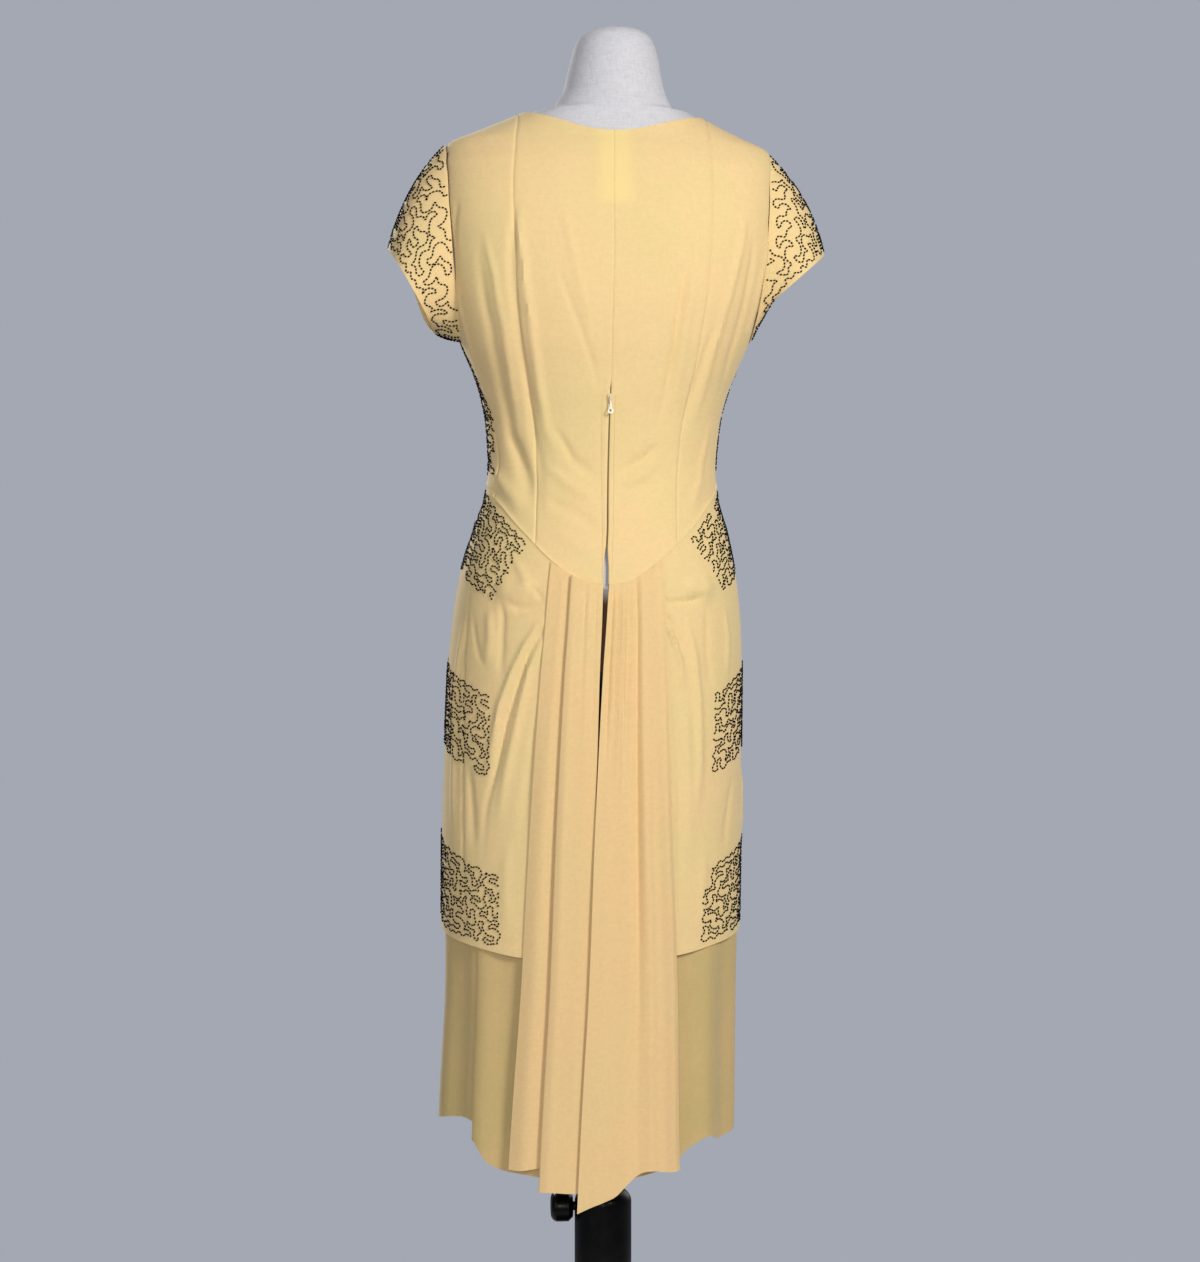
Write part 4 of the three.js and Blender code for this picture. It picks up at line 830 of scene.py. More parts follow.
# Folds that fan out from the corners of the pleated panel, and drag lines round the hips
TUNIC_FOLDS = {
    1: [
        (10, 4.2, (38, 981), (46.5, 974), (55.5, 976)),
        (2.8, -2.6, (31, 963), (37.5, 958), (43.5, 957), (49, 962)),
        (4, -2.2, (51.5, 963), (50, 946), (49.5, 912), (49.5, 879)),
        (4, 3.6, (28.5, 946), (34, 936), (39, 916), (44, 888), (49, 852), (51.5, 814), (54, 776)),
        (2.8, -2.6, (27.5, 939), (32, 928), (36.5, 909), (40.5, 879), (45.5, 836), (49.5, 788), (54, 744),
         (55.5, 694)),
        (5, 3.6, (28, 927), (32, 914), (36, 892), (39, 858), (42, 820), (45.5, 777), (48.5, 728)),
        (6, -1.8, (28, 868), (33, 816), (35.5, 762), (38, 698)),
        (3, -1.2, (65.5, 944), (61.5, 910), (56.5, 891)),
        (6, 2.2, (57, 952), (55.5, 922), (56, 891)),
        (5, 2.6, (72.5, 938), (74.5, 855), (73.5, 756), (72, 690)),
        (1.6, -1.6, (70, 985), (69, 900), (67.5, 800), (66, 700), (64, 590)),
        (5, -2.2, (63, 780), (61, 736), (60, 693)),
        (5, 1.6, (48, 1008), (40.5, 987), (34, 969)),
        (3, -1.6, (37, 978), (33.5, 970), (31, 966)),
        (8, 1.4, (44, 700), (45, 650), (44, 600)),
    ],
    -1: [
        (10, 4.2, (40.5, 980), (51, 975), (57, 988)),
        (2.8, -2.6, (28, 963), (36, 963), (44, 964), (52.5, 969)),
        (2.8, -2.4, (28, 952), (33.5, 942), (38, 922), (40.5, 898)),
        (4, 3.4, (28, 946), (33.5, 928), (38, 904), (40, 868)),
        (2.6, -2.0, (28, 939), (31, 934), (33.5, 922), (35, 909)),
        (5, 3.2, (41.5, 942), (45.5, 906), (48, 856), (49, 792), (48, 726)),
        (4, -1.8, (32, 912), (35, 868), (37.5, 814), (39.5, 748), (39.5, 663), (39, 609)),
        (7, 2.0, (41.5, 856), (43.5, 771), (44.5, 684)),
        (4, -1.4, (52, 954), (52, 910), (54, 867)),
        (4, 1.8, (63.5, 954), (65, 921), (64, 878)),
        (4, 2.6, (82, 774), (84, 740), (84, 694)),
        (5, -1.8, (69, 766), (65, 723), (63, 690)),
        (7, 1.3, (52, 690), (52, 650), (51, 600)),
    ],
}
TUNIC_FRONT_FOLDS = [
    (8, 2.0, (91, 1060), (104, 1030), (113, 998)), (9, -1.6, (99, 1025), (114, 975), (123, 925)),
    (10, 1.9, (117, 1050), (124, 960), (128, 862)), (11, -1.6, (139, 1030), (140, 930), (137, 822)),
    (12, 1.8, (163, 1020), (163, 900), (160, 782)), (11, -1.6, (187, 1020), (187, 910), (190, 802)),
    (11, 1.8, (213, 1030), (213, 930), (217, 832)), (10, -1.6, (239, 1050), (236, 960), (231, 872)),
    (8, 2.0, (263, 1060), (254, 1030), (246, 992)), (9, 1.7, (103, 762), (106, 690), (105, 612)),
    (10, -1.5, (133, 742), (132, 680), (135, 622)), (11, 1.6, (169, 742), (172, 690), (171, 624)),
    (10, -1.5, (207, 752), (204, 690), (205, 622)), (9, 1.7, (243, 762), (244, 690), (241, 612)),
]
TUNIC_LIMITS, FRONT_LIMITS = (-2.6, 5.2), (-2.2, 4)
CLEAR_FROM, CLEAR_TO = 3, 5.5
TUNIC_HEM_FOLD = 9, 0.35  # depth of the hem and how far it stands out


def tunic_out(angle, height):
    left = angle >= 0
    at = fold(angle)
    rise = np.where(left, creases(TUNIC_FOLDS[1], at, height), creases(TUNIC_FOLDS[-1], at, height))
    edge_left = angle_across(height, drape_outer(height, PLEATS[1]) - TUNIC_TUCK)
    edge_right = angle_across(height, drape_outer(height, PLEATS[-1]) - TUNIC_TUCK)
    clear = at - np.where(left, edge_left, edge_right)
    return np.clip(rise, *TUNIC_LIMITS) * smooth(clear, CLEAR_FROM, CLEAR_TO)


def tunic_front_out(angle, height):
    return np.clip(creases(TUNIC_FRONT_FOLDS, angle, height), *FRONT_LIMITS)


def vertical(angle):
    foot, head = float(TUNIC_HEM_AT(fold(angle))), float(HIP(fold(angle))) - SEAM
    return lambda t: (both(angle, 0, t)[0], mix(foot, head, t))


for side, word in SIDES:
    rows = PLEATS[side]

    def inner_angle(height, rows=rows):
        return angle_across(height, drape_outer(height, rows) - TUNIC_TUCK)

    inner_top = meet_hip(inner_angle)
    inner_hem = float(TUNIC_HEM_AT(TUNIC_CORNER))
    hem_angle, seam_angle = float(inner_angle(inner_hem)), float(inner_angle(inner_top))

    def bottom(s, a=hem_angle):
        angle = mix(a, TUNIC_SEAM, np.asarray(s, float))
        return angle, TUNIC_HEM_AT(angle)

    def top(s, a=seam_angle):
        angle = mix(a, TUNIC_SEAM, np.asarray(s, float))
        return angle, HIP(angle) - SEAM

    def start(t, low=inner_hem, high=inner_top, f=inner_angle):
        height = mix(low, high - SEAM, np.asarray(t, float))
        return f(height), height

    edges = sided(side, bottom, top, start, vertical(TUNIC_SEAM))
    panel(f"tunic_back_{word}", edges, 58, 130, (170, 440), "crepe", tunic_out,
          (("end", *SEWN), ("top", *UNDER)), hem=TUNIC_HEM_FOLD)

TUNIC_FROM, TUNIC_TO = TUNIC_SEAM + 0.04, 360 - TUNIC_SEAM - 0.04


def front_hem(s):
    angle = mix(TUNIC_FROM, TUNIC_TO, s)
    return angle, TUNIC_HEM_AT(fold(angle))


def front_hip(s):
    angle = mix(TUNIC_FROM, TUNIC_TO, s)
    return angle, HIP(fold(angle)) - SEAM


panel("tunic_front", (front_hem, front_hip, vertical(TUNIC_FROM), vertical(TUNIC_TO)), 70, 70, (400, 450),
      "crepe", tunic_front_out, (("start", *SEWN), ("end", *SEWN), ("top", *UNDER)), hem=TUNIC_HEM_FOLD)

# Underskirt

SKIRT_FOLDS = [  # angle, width, rise: hanging folds, deepest at the hem
    (12, 7, 1.6), (22, 9, 2.5), (33, 6, -1.8), (44, 8, -4), (56, 6, 3.5), (68, 6, -4), (79, 6, 4),
    (108, 9, 4), (120, 6, -2), (132, 8, -3), (144, 6, 1.8), (157, 10, 4), (172, 7, -2),
]
SKIRT_LAP, LAP_START, LAP_FULL, LAP_SPREAD = 3.2, 820, 200, 150  # how the front lies under the backs
FOLDS_START, FOLDS_FULL = 860, 440
UNDER_TUNIC = 600, 640
FOLD_DRIFT = 2.2
SKIRT_TOP_GAP = 1.2
SLIT_LOW, SLIT_HIGH, SLIT_FROM, SLIT_TO = 1, 4, 640, 940  # half the slit's width below and above
SKIRT_HEM_FOLD = 52, 0.4  # depth of the hem and how far it stands out
SKIRT_TUCK = 8  # degrees of the front that run in under each back panel


def skirt_depth(height):
    return mix(SKIRT_DEPTH, SKIRT_TOP_DEPTH, smooth(height, 960, 1040))


def skirt_out(angle, height):
    at = fold(angle)
    side = np.where((np.asarray(angle) < 0) | (np.asarray(angle) > 180), -1, 1)
    rise = np.zeros(np.broadcast(angle, height).shape)
    for centre, width, amount in SKIRT_FOLDS:
        drift = FOLD_DRIFT * side * np.sin(centre) * smooth(height, 620, 340)
        rise = rise + amount * np.exp(-(((at - centre - drift) / width) ** 2))
    upper = smooth(height, *UNDER_TUNIC)
    rise = np.where(upper > 0, np.minimum(rise, mix(rise, 0, upper)), rise)
    return rise * smooth(FOLDS_START - height, 0, FOLDS_FULL) - skirt_depth(height)


def skirt_panel(name, low, high, slit, out, lift, columns, width, tuck=0.0):
    def hem(angle):
        return skirt_hem(angle) + lift(angle)

    def head(angle):
        return HIP(fold(angle)) - SKIRT_TOP_GAP

    sign = math.copysign(1, high)

    def start(t):
        t = np.asarray(t, float)
        if not slit:
            height = mix(float(hem(low - tuck)), float(head(low)), t)
            return low - tuck * smooth(LAP_START - height, 0, LAP_SPREAD), height
        height = mix(float(hem(sign)), float(head(0)), t)
        half_slit = mix(SLIT_LOW, SLIT_HIGH, smooth(height, SLIT_FROM, SLIT_TO))
        return sign * angle_across(height, half_slit), height

    def end(t):
        height = mix(float(hem(high + tuck)), float(head(high)), np.asarray(t, float))
        return high + tuck * smooth(LAP_START - height, 0, LAP_SPREAD), height

    low_start, high_start, low_end = angle_on(start, 0), angle_on(start, 1), angle_on(end, 0)

    def bottom(s):
        angle = mix(low_start, low_end, np.asarray(s, float))
        return angle, hem(angle)

    def top(s):
        angle = mix(high_start, high, np.asarray(s, float))
        return angle, head(angle)

    panel(name, (bottom, top, start, end), columns, 60, (width, 650), "crepe_skirt", out, (),
          hem=SKIRT_HEM_FOLD)


for side, word in SIDES:
    skirt_panel(f"skirt_back_{word}", 0, side * SKIRT_SEAM[side], True, skirt_out, lambda a: 0, 34, 180)
skirt_low, skirt_high = SKIRT_SEAM[1] + 0.2, 360 - SKIRT_SEAM[-1] - 0.2


def front_out(angle, height):
    under = smooth(skirt_low + 4 - angle, 0, 6) + smooth(angle - skirt_high + 4, 0, 6)
    return skirt_out(angle, height) - SKIRT_LAP * under * smooth(LAP_START - height, 0, LAP_FULL)


def front_lift(angle):
    return FRONT_HEM_LIFT * (1 - smooth(angle, skirt_low, 95))


skirt_panel("skirt_front", skirt_low, skirt_high, False, front_out, front_lift, 74, 520, SKIRT_TUCK)

# Pleated back panel: folded walls that lie over the tunic


def fine_rows(rows, parts=7):
    """The pleat's rows with rounded turns: a spline through them with points between."""
    p = np.array(rows, float)
    p = np.concatenate([p[:1] * 2 - p[1:2], p, p[-1:] * 2 - p[-2:-1]])
    made = []
    for i in range(1, len(p) - 2):
        for k in range(parts):
            t = k / parts
            a, b, c, d = p[i - 1], p[i], p[i + 1], p[i + 2]
            square, cube = 2 * a - 5 * b + 4 * c - d, 3 * b - a - 3 * c + d
            made.append(0.5 * (2 * b + (c - a) * t + square * t * t + cube * t**3))
    return np.array(made + [p[-2]])


# Small folds in the pleats: across at the top and at the hem, width, rise, from and to (0 top, 1 hem)
PLEAT_FOLDS = {
    1: [
        (10, 13, 1.5, -0.9, 0, 0.30), (17, 24, 1.6, 0.7, 0, 0.34), (21, 30, 1.4, -0.8, 0, 0.22),
        (31, 47, 3, 0.8, 0.1, 1), (14, 24, 5, 0.9, 0.25, 1), (8, 15, 4, -0.7, 0.45, 1),
        (36, 56, 3, -0.6, 0.3, 1), (45, 70, 4, 0.7, 0, 1),
    ],
    -1: [
        (-7.5, 2, 1.2, -1.6, 0, 0.34), (-10.5, -3, 1.3, 1.2, 0, 0.30), (-13.5, -9, 1.2, -1.5, 0, 0.5),
        (-18, -15, 1.4, 1.4, 0, 0.42), (-21.5, -22, 1.2, -1.7, 0, 0.44), (-27, -34, 1.3, -1.4, 0, 0.36),
        (-32, -47.5, 2.0, -2.4, 0, 0.95), (-36.5, -55, 2.0, 1.3, 0, 0.8), (-12, -6, 6, 0.9, 0.2, 1),
        (-20, -28, 6, -0.8, 0.35, 1), (-56.5, -90, 2.0, 1.0, 0, 1), (-41, -66, 3, -0.8, 0.4, 1),
        (-46, -76, 3.2, 0.9, 0.3, 1), (-37, -60, 3, 0.8, 0.35, 1),
    ],
}


def pleat_ripple(side, u, t):
    """How far the small folds stand out; u is the place across, t the way down."""
    total = np.zeros(np.broadcast(u, t).shape)
    for top, hem, width, rise, first, last in PLEAT_FOLDS[side]:
        way = (t - first) / (last - first)
        fade = smooth(way, -0.12, 0.15) * (smooth(1 - way, 0, 0.5) if last < 1 else 1)
        wide = width * mix(0.8, 1.9, t)
        total = total + rise * fade * np.exp(-(((u - mix(top, hem, t**PLEAT_SPREAD)) / wide) ** 2))
    return total * smooth(t, 0, 0.02)


PLEAT_LEVELS, SEAM_LEVEL, PLEAT_TOP_GAP, LEAST_RISE = 90, 1000, 0.3, 2.2


def pleated(side, word):
    rows = fine_rows(PLEATS[side])
    heads = HIP(fold(angle_across(SEAM_LEVEL, rows[:, 0]))) - PLEAT_TOP_GAP
    t = np.linspace(0, 1, PLEAT_LEVELS)[:, None]
    across = mix(rows[None, :, 0], rows[None, :, 1], t**PLEAT_SPREAD)
    rise = mix(rows[None, :, 2], rows[None, :, 3], smooth(t, 0, 0.55))
    rise = np.maximum(rise + pleat_ripple(side, across, t), LEAST_RISE)
    height = mix(heads[None, :], rows[None, :, 4], t)
    line = np.stack([across, rise], -1)
    way = unit(np.gradient(line, axis=1))
    out = np.stack([-way[..., 1], way[..., 0]], -1) * side

    def face(inset):
        a, r = (line + out * inset)[..., 0], (line + out * inset)[..., 1]
        return point(angle_across(height, a), height, r)

    outer, inner = face(0), face(THICK)
    obj = wall(f"drape_{word}", outer, inner, CREPE_DRAPE_WARM_LIT)
    cloth(obj, outer, [f"drape_{word}"])


for side, word in SIDES:
    pleated(side, word)

# Beads, teeth and stitches: many copies of one small solid in one mesh


def barrel(sides, rings):
    """Points and faces of a small closed solid of revolution along x."""
    turn = 2 * math.pi * np.arange(sides) / sides
    circles = [np.stack([np.full(sides, x), r * np.cos(turn), r * np.sin(turn)], -1) for x, r in rings]
    ends = [np.arange(sides)[None, ::-1], np.arange(sides)[None, :] + sides * (len(rings) - 1)]
    return np.concatenate(circles), [grid_faces(len(rings), sides, 0, True)] + ends


BEAD_SHAPE = barrel(5, [(-1.25, 0.65), (0, 1.0), (1.25, 0.65)])
STITCH_SHAPE = barrel(5, [(-1.0, 0.08), (-0.6, 0.2), (0.6, 0.2), (1.0, 0.08)])
TOOTH_CORNERS = [(x, y, z) for x in (-0.55, 0.55) for y in (-1.1, 1.1) for z in (-0.5, 0.5)]
TOOTH_FACES = [(0, 1, 3, 2), (4, 6, 7, 5), (0, 4, 5, 1), (2, 3, 7, 6), (0, 2, 6, 4), (1, 5, 7, 3)]
TOOTH_SHAPE = np.array(TOOTH_CORNERS, float), [np.array(TOOTH_FACES)]


def scatter(name, shape, centres, ways, normals, material, slot=None):
    """Copies of a small solid, each along its own way on the cloth, in one mesh that moves with the form."""
    points, faces = shape
    x = unit(ways - normals * (ways * normals).sum(-1, keepdims=True))
    y = np.cross(normals, x)
    count = len(centres)
    placed = (centres[:, None, :] + points[None, :, 0:1] * x[:, None] + points[None, :, 1:2] * y[:, None]
              + points[None, :, 2:3] * normals[:, None])
    offset = (np.arange(count) * len(points))[:, None, None]
    all_faces = [(f[None] + offset).reshape(-1, f.shape[1]) for f in faces]
    obj = mesh_object(name, placed.reshape(-1, 3), all_faces, material, 50)
    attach(obj, "form")
    print(f"SCATTER {name}: {count} copies")


def beside(i, j):
    return (i + 1, j), (i - 1, j), (i, j + 1), (i, j - 1)


RAGGED, DEEPER, TURNING = 0.06, 0.6, 0.95  # chances that shape a wandering line


def meander(columns, rows, inside, rng, ring=False):
    """Closed wandering lines that fill the cells of a grid: the way round a random tree of its cells."""
    cells = {(i, j) for i in range(columns) for j in range(rows) if inside(i, j)}
    rim = [] if ring else [cell for cell in sorted(cells) if not set(beside(*cell)) <= cells]
    cells = sorted(cells - {cell for cell in rim if rng.random() < RAGGED})
    todo, linked, came = set(cells), set(), {}
    for root in cells:
        if root not in todo:
            continue
        todo.discard(root)
        stack = [root]
        while stack:
            k = len(stack) - 1 if rng.random() < DEEPER else rng.randrange(len(stack))
            i, j = stack[k]
            around = [n for n in beside(i, j) if n in todo]
            if not around:
                stack.pop(k)
                continue
            turning = [n for n in around if (n[0] - i, n[1] - j) != came.get((i, j))]
            if turning and rng.random() < TURNING:
                around = turning
            n = around[rng.randrange(len(around))]
            came[n] = (n[0] - i, n[1] - j)
            todo.discard(n)
            linked |= {((i, j), n), (n, (i, j))}
            stack.append(n)

    def step(x, y, across):
        """The next node: over the cell's side where the cells are linked, else along that side."""
        cell = (x // 2, y // 2)
        if across:
            way = 1 if x % 2 else -1
            if (cell, (cell[0] + way, cell[1])) in linked:
                return x + way, y
            return x, y + (-1 if y % 2 else 1)
        way = 1 if y % 2 else -1
        if (cell, (cell[0], cell[1] + way)) in linked:
            return x, y + way
        return x + (-1 if x % 2 else 1), y

    seen, loops = set(), []
    for i, j in cells:
        for node in ((2 * i, 2 * j), (2 * i + 1, 2 * j), (2 * i, 2 * j + 1), (2 * i + 1, 2 * j + 1)):
            if node in seen:
                continue
            loop, across = [], True
            current = node
            while current not in seen:
                seen.add(current)
                loop.append(current)
                current = step(*current, across)
                across = not across
            loops.append(loop)
    return loops


JITTER, BEND, WOBBLE = 0.1, 0.14, 0.46  # in steps of the grid


def wandering(loop, rng):
    """The loop's corners moved unevenly, its straight runs made wavy, and all of it rounded off."""
    cells = np.array(loop)
    p = cells + 0.5
    x, y = p.T * 2 * math.pi
    warp = np.stack([np.sin(y / 3.1 + 1.3 * np.sin(x / 7.3)) + 0.6 * np.sin(y / 5.7 + x / 4.3 + 2),
                     np.sin(x / 3.4 + 1.1 * np.sin(y / 6.1) + 1) + 0.6 * np.sin(x / 5.2 - y / 4.9 + 4)], -1)
    moved = np.array([[rng.uniform(-JITTER, JITTER), rng.uniform(-JITTER, JITTER)] for _ in loop])
    p = p + BEND * warp + moved
    way = np.abs(np.roll(cells, -1, 0) - np.roll(cells, 1, 0))
    flip = WOBBLE * np.where(cells % 2, 1, -1) * (way > 1)
    p = p + flip[:, ::-1]
    for _ in range(3):
        after = np.roll(p, -1, 0)
        p = np.stack([0.75 * p + 0.25 * after, 0.25 * p + 0.75 * after], 1).reshape(-1, 2)
    return p


BEAD_PITCH, BEAD_SEAT = 3.8, 0.7
SLEEVE_GAP, FRONT_GAP = 8.3, 6.2
SLEEVE_CELLS, SLEEVE_ROWS, CUFF_MARGIN = 32, 8, 2.5


def bead_line(place, loops, rng, keep):
    """Beads threaded along the loops; place(x, y) gives points and normals, keep(x, y) what stays."""
    centres, ways, normals = [], [], []
    for loop in loops:
        if len(loop) < 4:
            continue
        line = wandering(loop, rng)
        line = np.concatenate([line, line[:1]])
        at, _ = place(line[:, 0], line[:, 1])
        run = np.concatenate([[0], np.cumsum(np.linalg.norm(np.diff(at, axis=0), axis=1))])
        spots = np.arange(0, run[-1] - BEAD_PITCH * 0.6, BEAD_PITCH)
        spots = spots + np.array([rng.uniform(-0.25, 0.25) for _ in spots])
        x, y = np.interp(spots, run, line[:, 0]), np.interp(spots, run, line[:, 1])
        x2, y2 = np.interp(spots + 0.8, run, line[:, 0]), np.interp(spots + 0.8, run, line[:, 1])
        good = keep(x, y)
        p, n = place(x[good], y[good])
        q, _ = place(x2[good], y2[good])
        centres.append(p)
        ways.append(q - p)
        normals.append(n)
    return tuple(np.concatenate(v) for v in (centres, ways, normals))


rng = random.Random(41)

# Sleeves
for side, word in SIDES:
    turns = 2 * math.pi * ((np.arange(2 * SLEEVE_CELLS) + 0.5) / (2 * SLEEVE_CELLS) - 0.25)
    lengths = np.linalg.norm(sleeve_surface(side, turns, np.ones(len(turns)))
                             - sleeve_surface(side, turns, np.zeros(len(turns))), axis=1)

    def length_at(x, lengths=lengths):
        return np.interp(x, np.arange(2 * SLEEVE_CELLS) + 0.5, lengths)

    def place(x, y, side=side, length_at=length_at):
        turn = 2 * math.pi * (x / (2 * SLEEVE_CELLS) - 0.25)
        t = np.clip(1 - (y * SLEEVE_GAP + CUFF_MARGIN) / length_at(x), 0.0, 1.0)
        return sleeve_point(side, turn, t, sleeve_out(side, turn, t) + BEAD_SEAT)

    def inside(i, j, length_at=length_at):
        return (2 * j + 1) * SLEEVE_GAP + CUFF_MARGIN < float(length_at(2 * i + 1)) - 2

    def keep(x, y, length_at=length_at):
        return y * SLEEVE_GAP + CUFF_MARGIN < length_at(x) - 2

    loops = meander(SLEEVE_CELLS, SLEEVE_ROWS, inside, rng, ring=True)
    scatter(f"beads_sleeve_{word}", BEAD_SHAPE, *bead_line(place, loops, rng, keep), BEAD)


def between(grid, at, value, runs, results):
    """Reads each value off the runs of the two grid lines beside its place, and mixes the two results."""
    step = grid[1] - grid[0]
    i = np.clip(((at - grid[0]) / step).astype(int), 0, len(grid) - 2)
    t = np.clip((at - grid[i]) / step, 0, 1)
    found = np.empty((2, len(value)))
    for k in (0, 1):
        for line in np.unique(i + k):
            here = i + k == line
            found[k, here] = np.interp(value[here], runs[line], results)
    return found[0] * (1 - t) + found[1] * t


class Arc:
    """Distance round the body from an angle, at every level, and back from distance to angle."""

    def __init__(self, low, high, bottom, top, origin):
        self.heights = np.arange(bottom, top + 1, 12.0)
        self.angles = np.arange(low, high + 0.01, 1.0)
        a, h = np.meshgrid(self.angles, self.heights)
        run = np.linalg.norm(np.diff(surface(a, h), axis=1), axis=-1).cumsum(1)
        self.run = np.concatenate([np.zeros((len(self.heights), 1)), run], 1)
        self.run -= np.array([np.interp(origin, self.angles, r) for r in self.run])[:, None]
        self.columns = np.arange(-260, 261, 10.0)
        self.levels = np.linspace(bottom, 1502, 60)
        d, h = np.meshgrid(self.columns, self.levels)
        at = surface(self.angle(d.ravel(), h.ravel()).reshape(d.shape), h)
        climb = np.linalg.norm(np.diff(at, axis=0), axis=-1).cumsum(0)
        self.climb = np.concatenate([np.zeros((1, len(self.columns))), climb])

    def height(self, distance, climb):
        """The height that a climb along the cloth reaches, at a distance from the middle."""
        return between(self.columns, distance, climb, self.climb.T, self.levels)

    def angle(self, distance, height):
        return between(self.heights, height, distance, self.run, self.angles)


# Bodice front: beaded from above the hip seam to the neckline and shoulders
arc = Arc(60, 300, 1040, 1510, 180)
LEFT_EDGE = curve([(1095, 78), (1112, 67), (1140, 70), (1180, 77), (1246, 87), (1300, 90)])  # height, angle
FRONT_SPAN, FRONT_ROWS, FRONT_FOOT = 38, 39, 16
ARM_DEGREE, FOOT_CLEAR, BEAD_TOP = 2.4, 14, 1499


def front_inside(angle, height, margin):
    reach = margin / ARM_DEGREE
    arm_left = armhole_angle(np.clip(height, UNDERARM + 0.1, SHOULDER_POINT), True)
    low = np.where(height < UNDERARM, np.maximum(LEFT_EDGE(height), SIDE_SEAM[1] + 1), arm_left) + reach
    seam_right = mix(SIDE_SEAM[-1], 90, smooth((height - 1077) / 174, 0.2, 1))
    arm = 360 - np.where(height < UNDERARM, seam_right, arm_left)
    neck = np.where(height > FRONT_NECK - 5, front_neck(angle) - margin, 1e9)
    foot = HIP(fold(angle)) + margin + FOOT_CLEAR * (1 - smooth(fold(angle), 80, 110))
    return (angle > low) & (angle < arm - reach) & (height < neck) & (height > foot) & (height < BEAD_TOP)


def front_spot(x, y):
    distance = (np.atleast_1d(x) - FRONT_SPAN) * FRONT_GAP
    height = arc.height(distance, np.atleast_1d(y) * FRONT_GAP + FRONT_FOOT)
    return arc.angle(distance, height), height


def front_place(x, y):
    angle, height = front_spot(x, y)
    n = normal(angle, height)
    return surface(angle, height) + n * (bodice_out(angle, height) + BEAD_SEAT)[:, None], n


def front_cell(i, j):
    return bool(front_inside(*front_spot(2 * i + 1, 2 * j + 1), 1)[0])


def front_keep(x, y):
    return front_inside(*front_spot(x, y), 3)


loops = meander(FRONT_SPAN, FRONT_ROWS, front_cell, rng)
scatter("beads_bodice_front", BEAD_SHAPE, *bead_line(front_place, loops, rng, front_keep), BEAD)

# Three beaded bands round the tunic, open at the back
BAND_CLEAR, BAND_INSET = 4, 2
# Name, line gap, back edge on the left and right (angle at the bottom, at the top), bottom and top by angle
BANDS = [
    ("hip", 5.6, (55.5, 43.5), (64, 47.5),
     curve([(40, 950), (55.5, 962), (82, 991), (95, 998), (130, 984), (180, 950)]),
     lambda angle: HIP(angle) - BAND_CLEAR),
    ("middle", 6.0, (52.5, 54), (55.5, 56.5),
     curve([(50, 766), (53, 769), (79, 793), (95, 806), (135, 792), (180, 752)]),
     curve([(50, 860), (54, 864), (79, 891), (95, 903), (135, 889), (180, 848)])),
    ("hem", 6.1, (46.5, 48), (50.5, 51.5),
     lambda angle: TUNIC_HEM_AT(angle) + BAND_CLEAR,
     curve([(40, 666), (48, 671), (79, 698), (95, 712), (135, 704), (180, 676)])),
]


def any_tunic_out(angle, height):
    back = (angle < TUNIC_SEAM) | (angle > 360 - TUNIC_SEAM)
    signed = np.where(angle > 180, angle - 360, angle)
    return np.where(back, tunic_out(signed, height), tunic_front_out(angle, height))


for name, gap, left, right, bottom_at, top_at in BANDS:
    level = 0.5 * float(bottom_at(100) + top_at(100))
    first, last = min(left), 360 - min(right)
    angles = np.linspace(first, last, 500)
    run = np.concatenate([[0], np.cumsum(np.linalg.norm(np.diff(surface(angles, level), axis=0), axis=1))])
    columns = round(run[-1] / (2 * gap))
    rows = round(float(top_at(90) - bottom_at(90)) / (2 * gap))

    def spot(x, y, c=columns, r=rows, run=run, angles=angles, low=bottom_at, high=top_at):
        angle = np.interp(x / (2 * c) * run[-1], run, angles)
        at = fold(angle)
        return angle, mix(low(at) + BAND_INSET, high(at) - BAND_INSET, y / (2 * r))

    def place(x, y, spot=spot):
        angle, height = spot(x, y)
        n = normal(angle, height)
        return surface(angle, height) + n * (any_tunic_out(angle, height) + BEAD_SEAT)[:, None], n

    def keep(x, y, spot=spot, r=rows, left=left, right=right):
        angle, _ = spot(x, y)
        way = y / (2 * r)
        return (angle > mix(*left, way)) & (angle < 360 - mix(*right, way))

    loops = meander(columns, rows, lambda i, j: True, rng)
    scatter(f"beads_band_{name}", BEAD_SHAPE, *bead_line(place, loops, rng, keep), BEAD)

# Zip: teeth between the tapes, topstitching beside the placket
TAPE_EDGE, TAPE_WIDTH, TAPE_FACE, TAPE_BACK = 0.25, 13, 1.9, 2.7
TAPE_COLUMNS, TAPE_ROWS = 5, 60
TEETH_TOP, TOOTH_PITCH, TOOTH_SIDE, TOOTH_DEPTH = 1176, 1.9, 0.35, 1.2
PLACKET_HEAD, PLACKET_FOOT, STITCH_UP, STITCH_PITCH, HEM_PITCH = 1186, 984, 0.12, 2.9, 6.5

for side, word in SIDES:
    across = np.linspace(TAPE_EDGE, TAPE_WIDTH, TAPE_COLUMNS)[None, :]
    height = np.linspace(ZIP_BOTTOM, ZIP_TOP, TAPE_ROWS)[:, None]
    angle = side * angle_across(height, across)
    height = np.broadcast_to(height, angle.shape)
    outer, inner = (point(angle, height, np.full(angle.shape, -d)) for d in (TAPE_FACE, TAPE_BACK))
    obj = wall(f"zip_tape_{word}", outer, inner, TAPE_CLOTH)
    cloth(obj, outer, [f"zip_tape_{word}"])

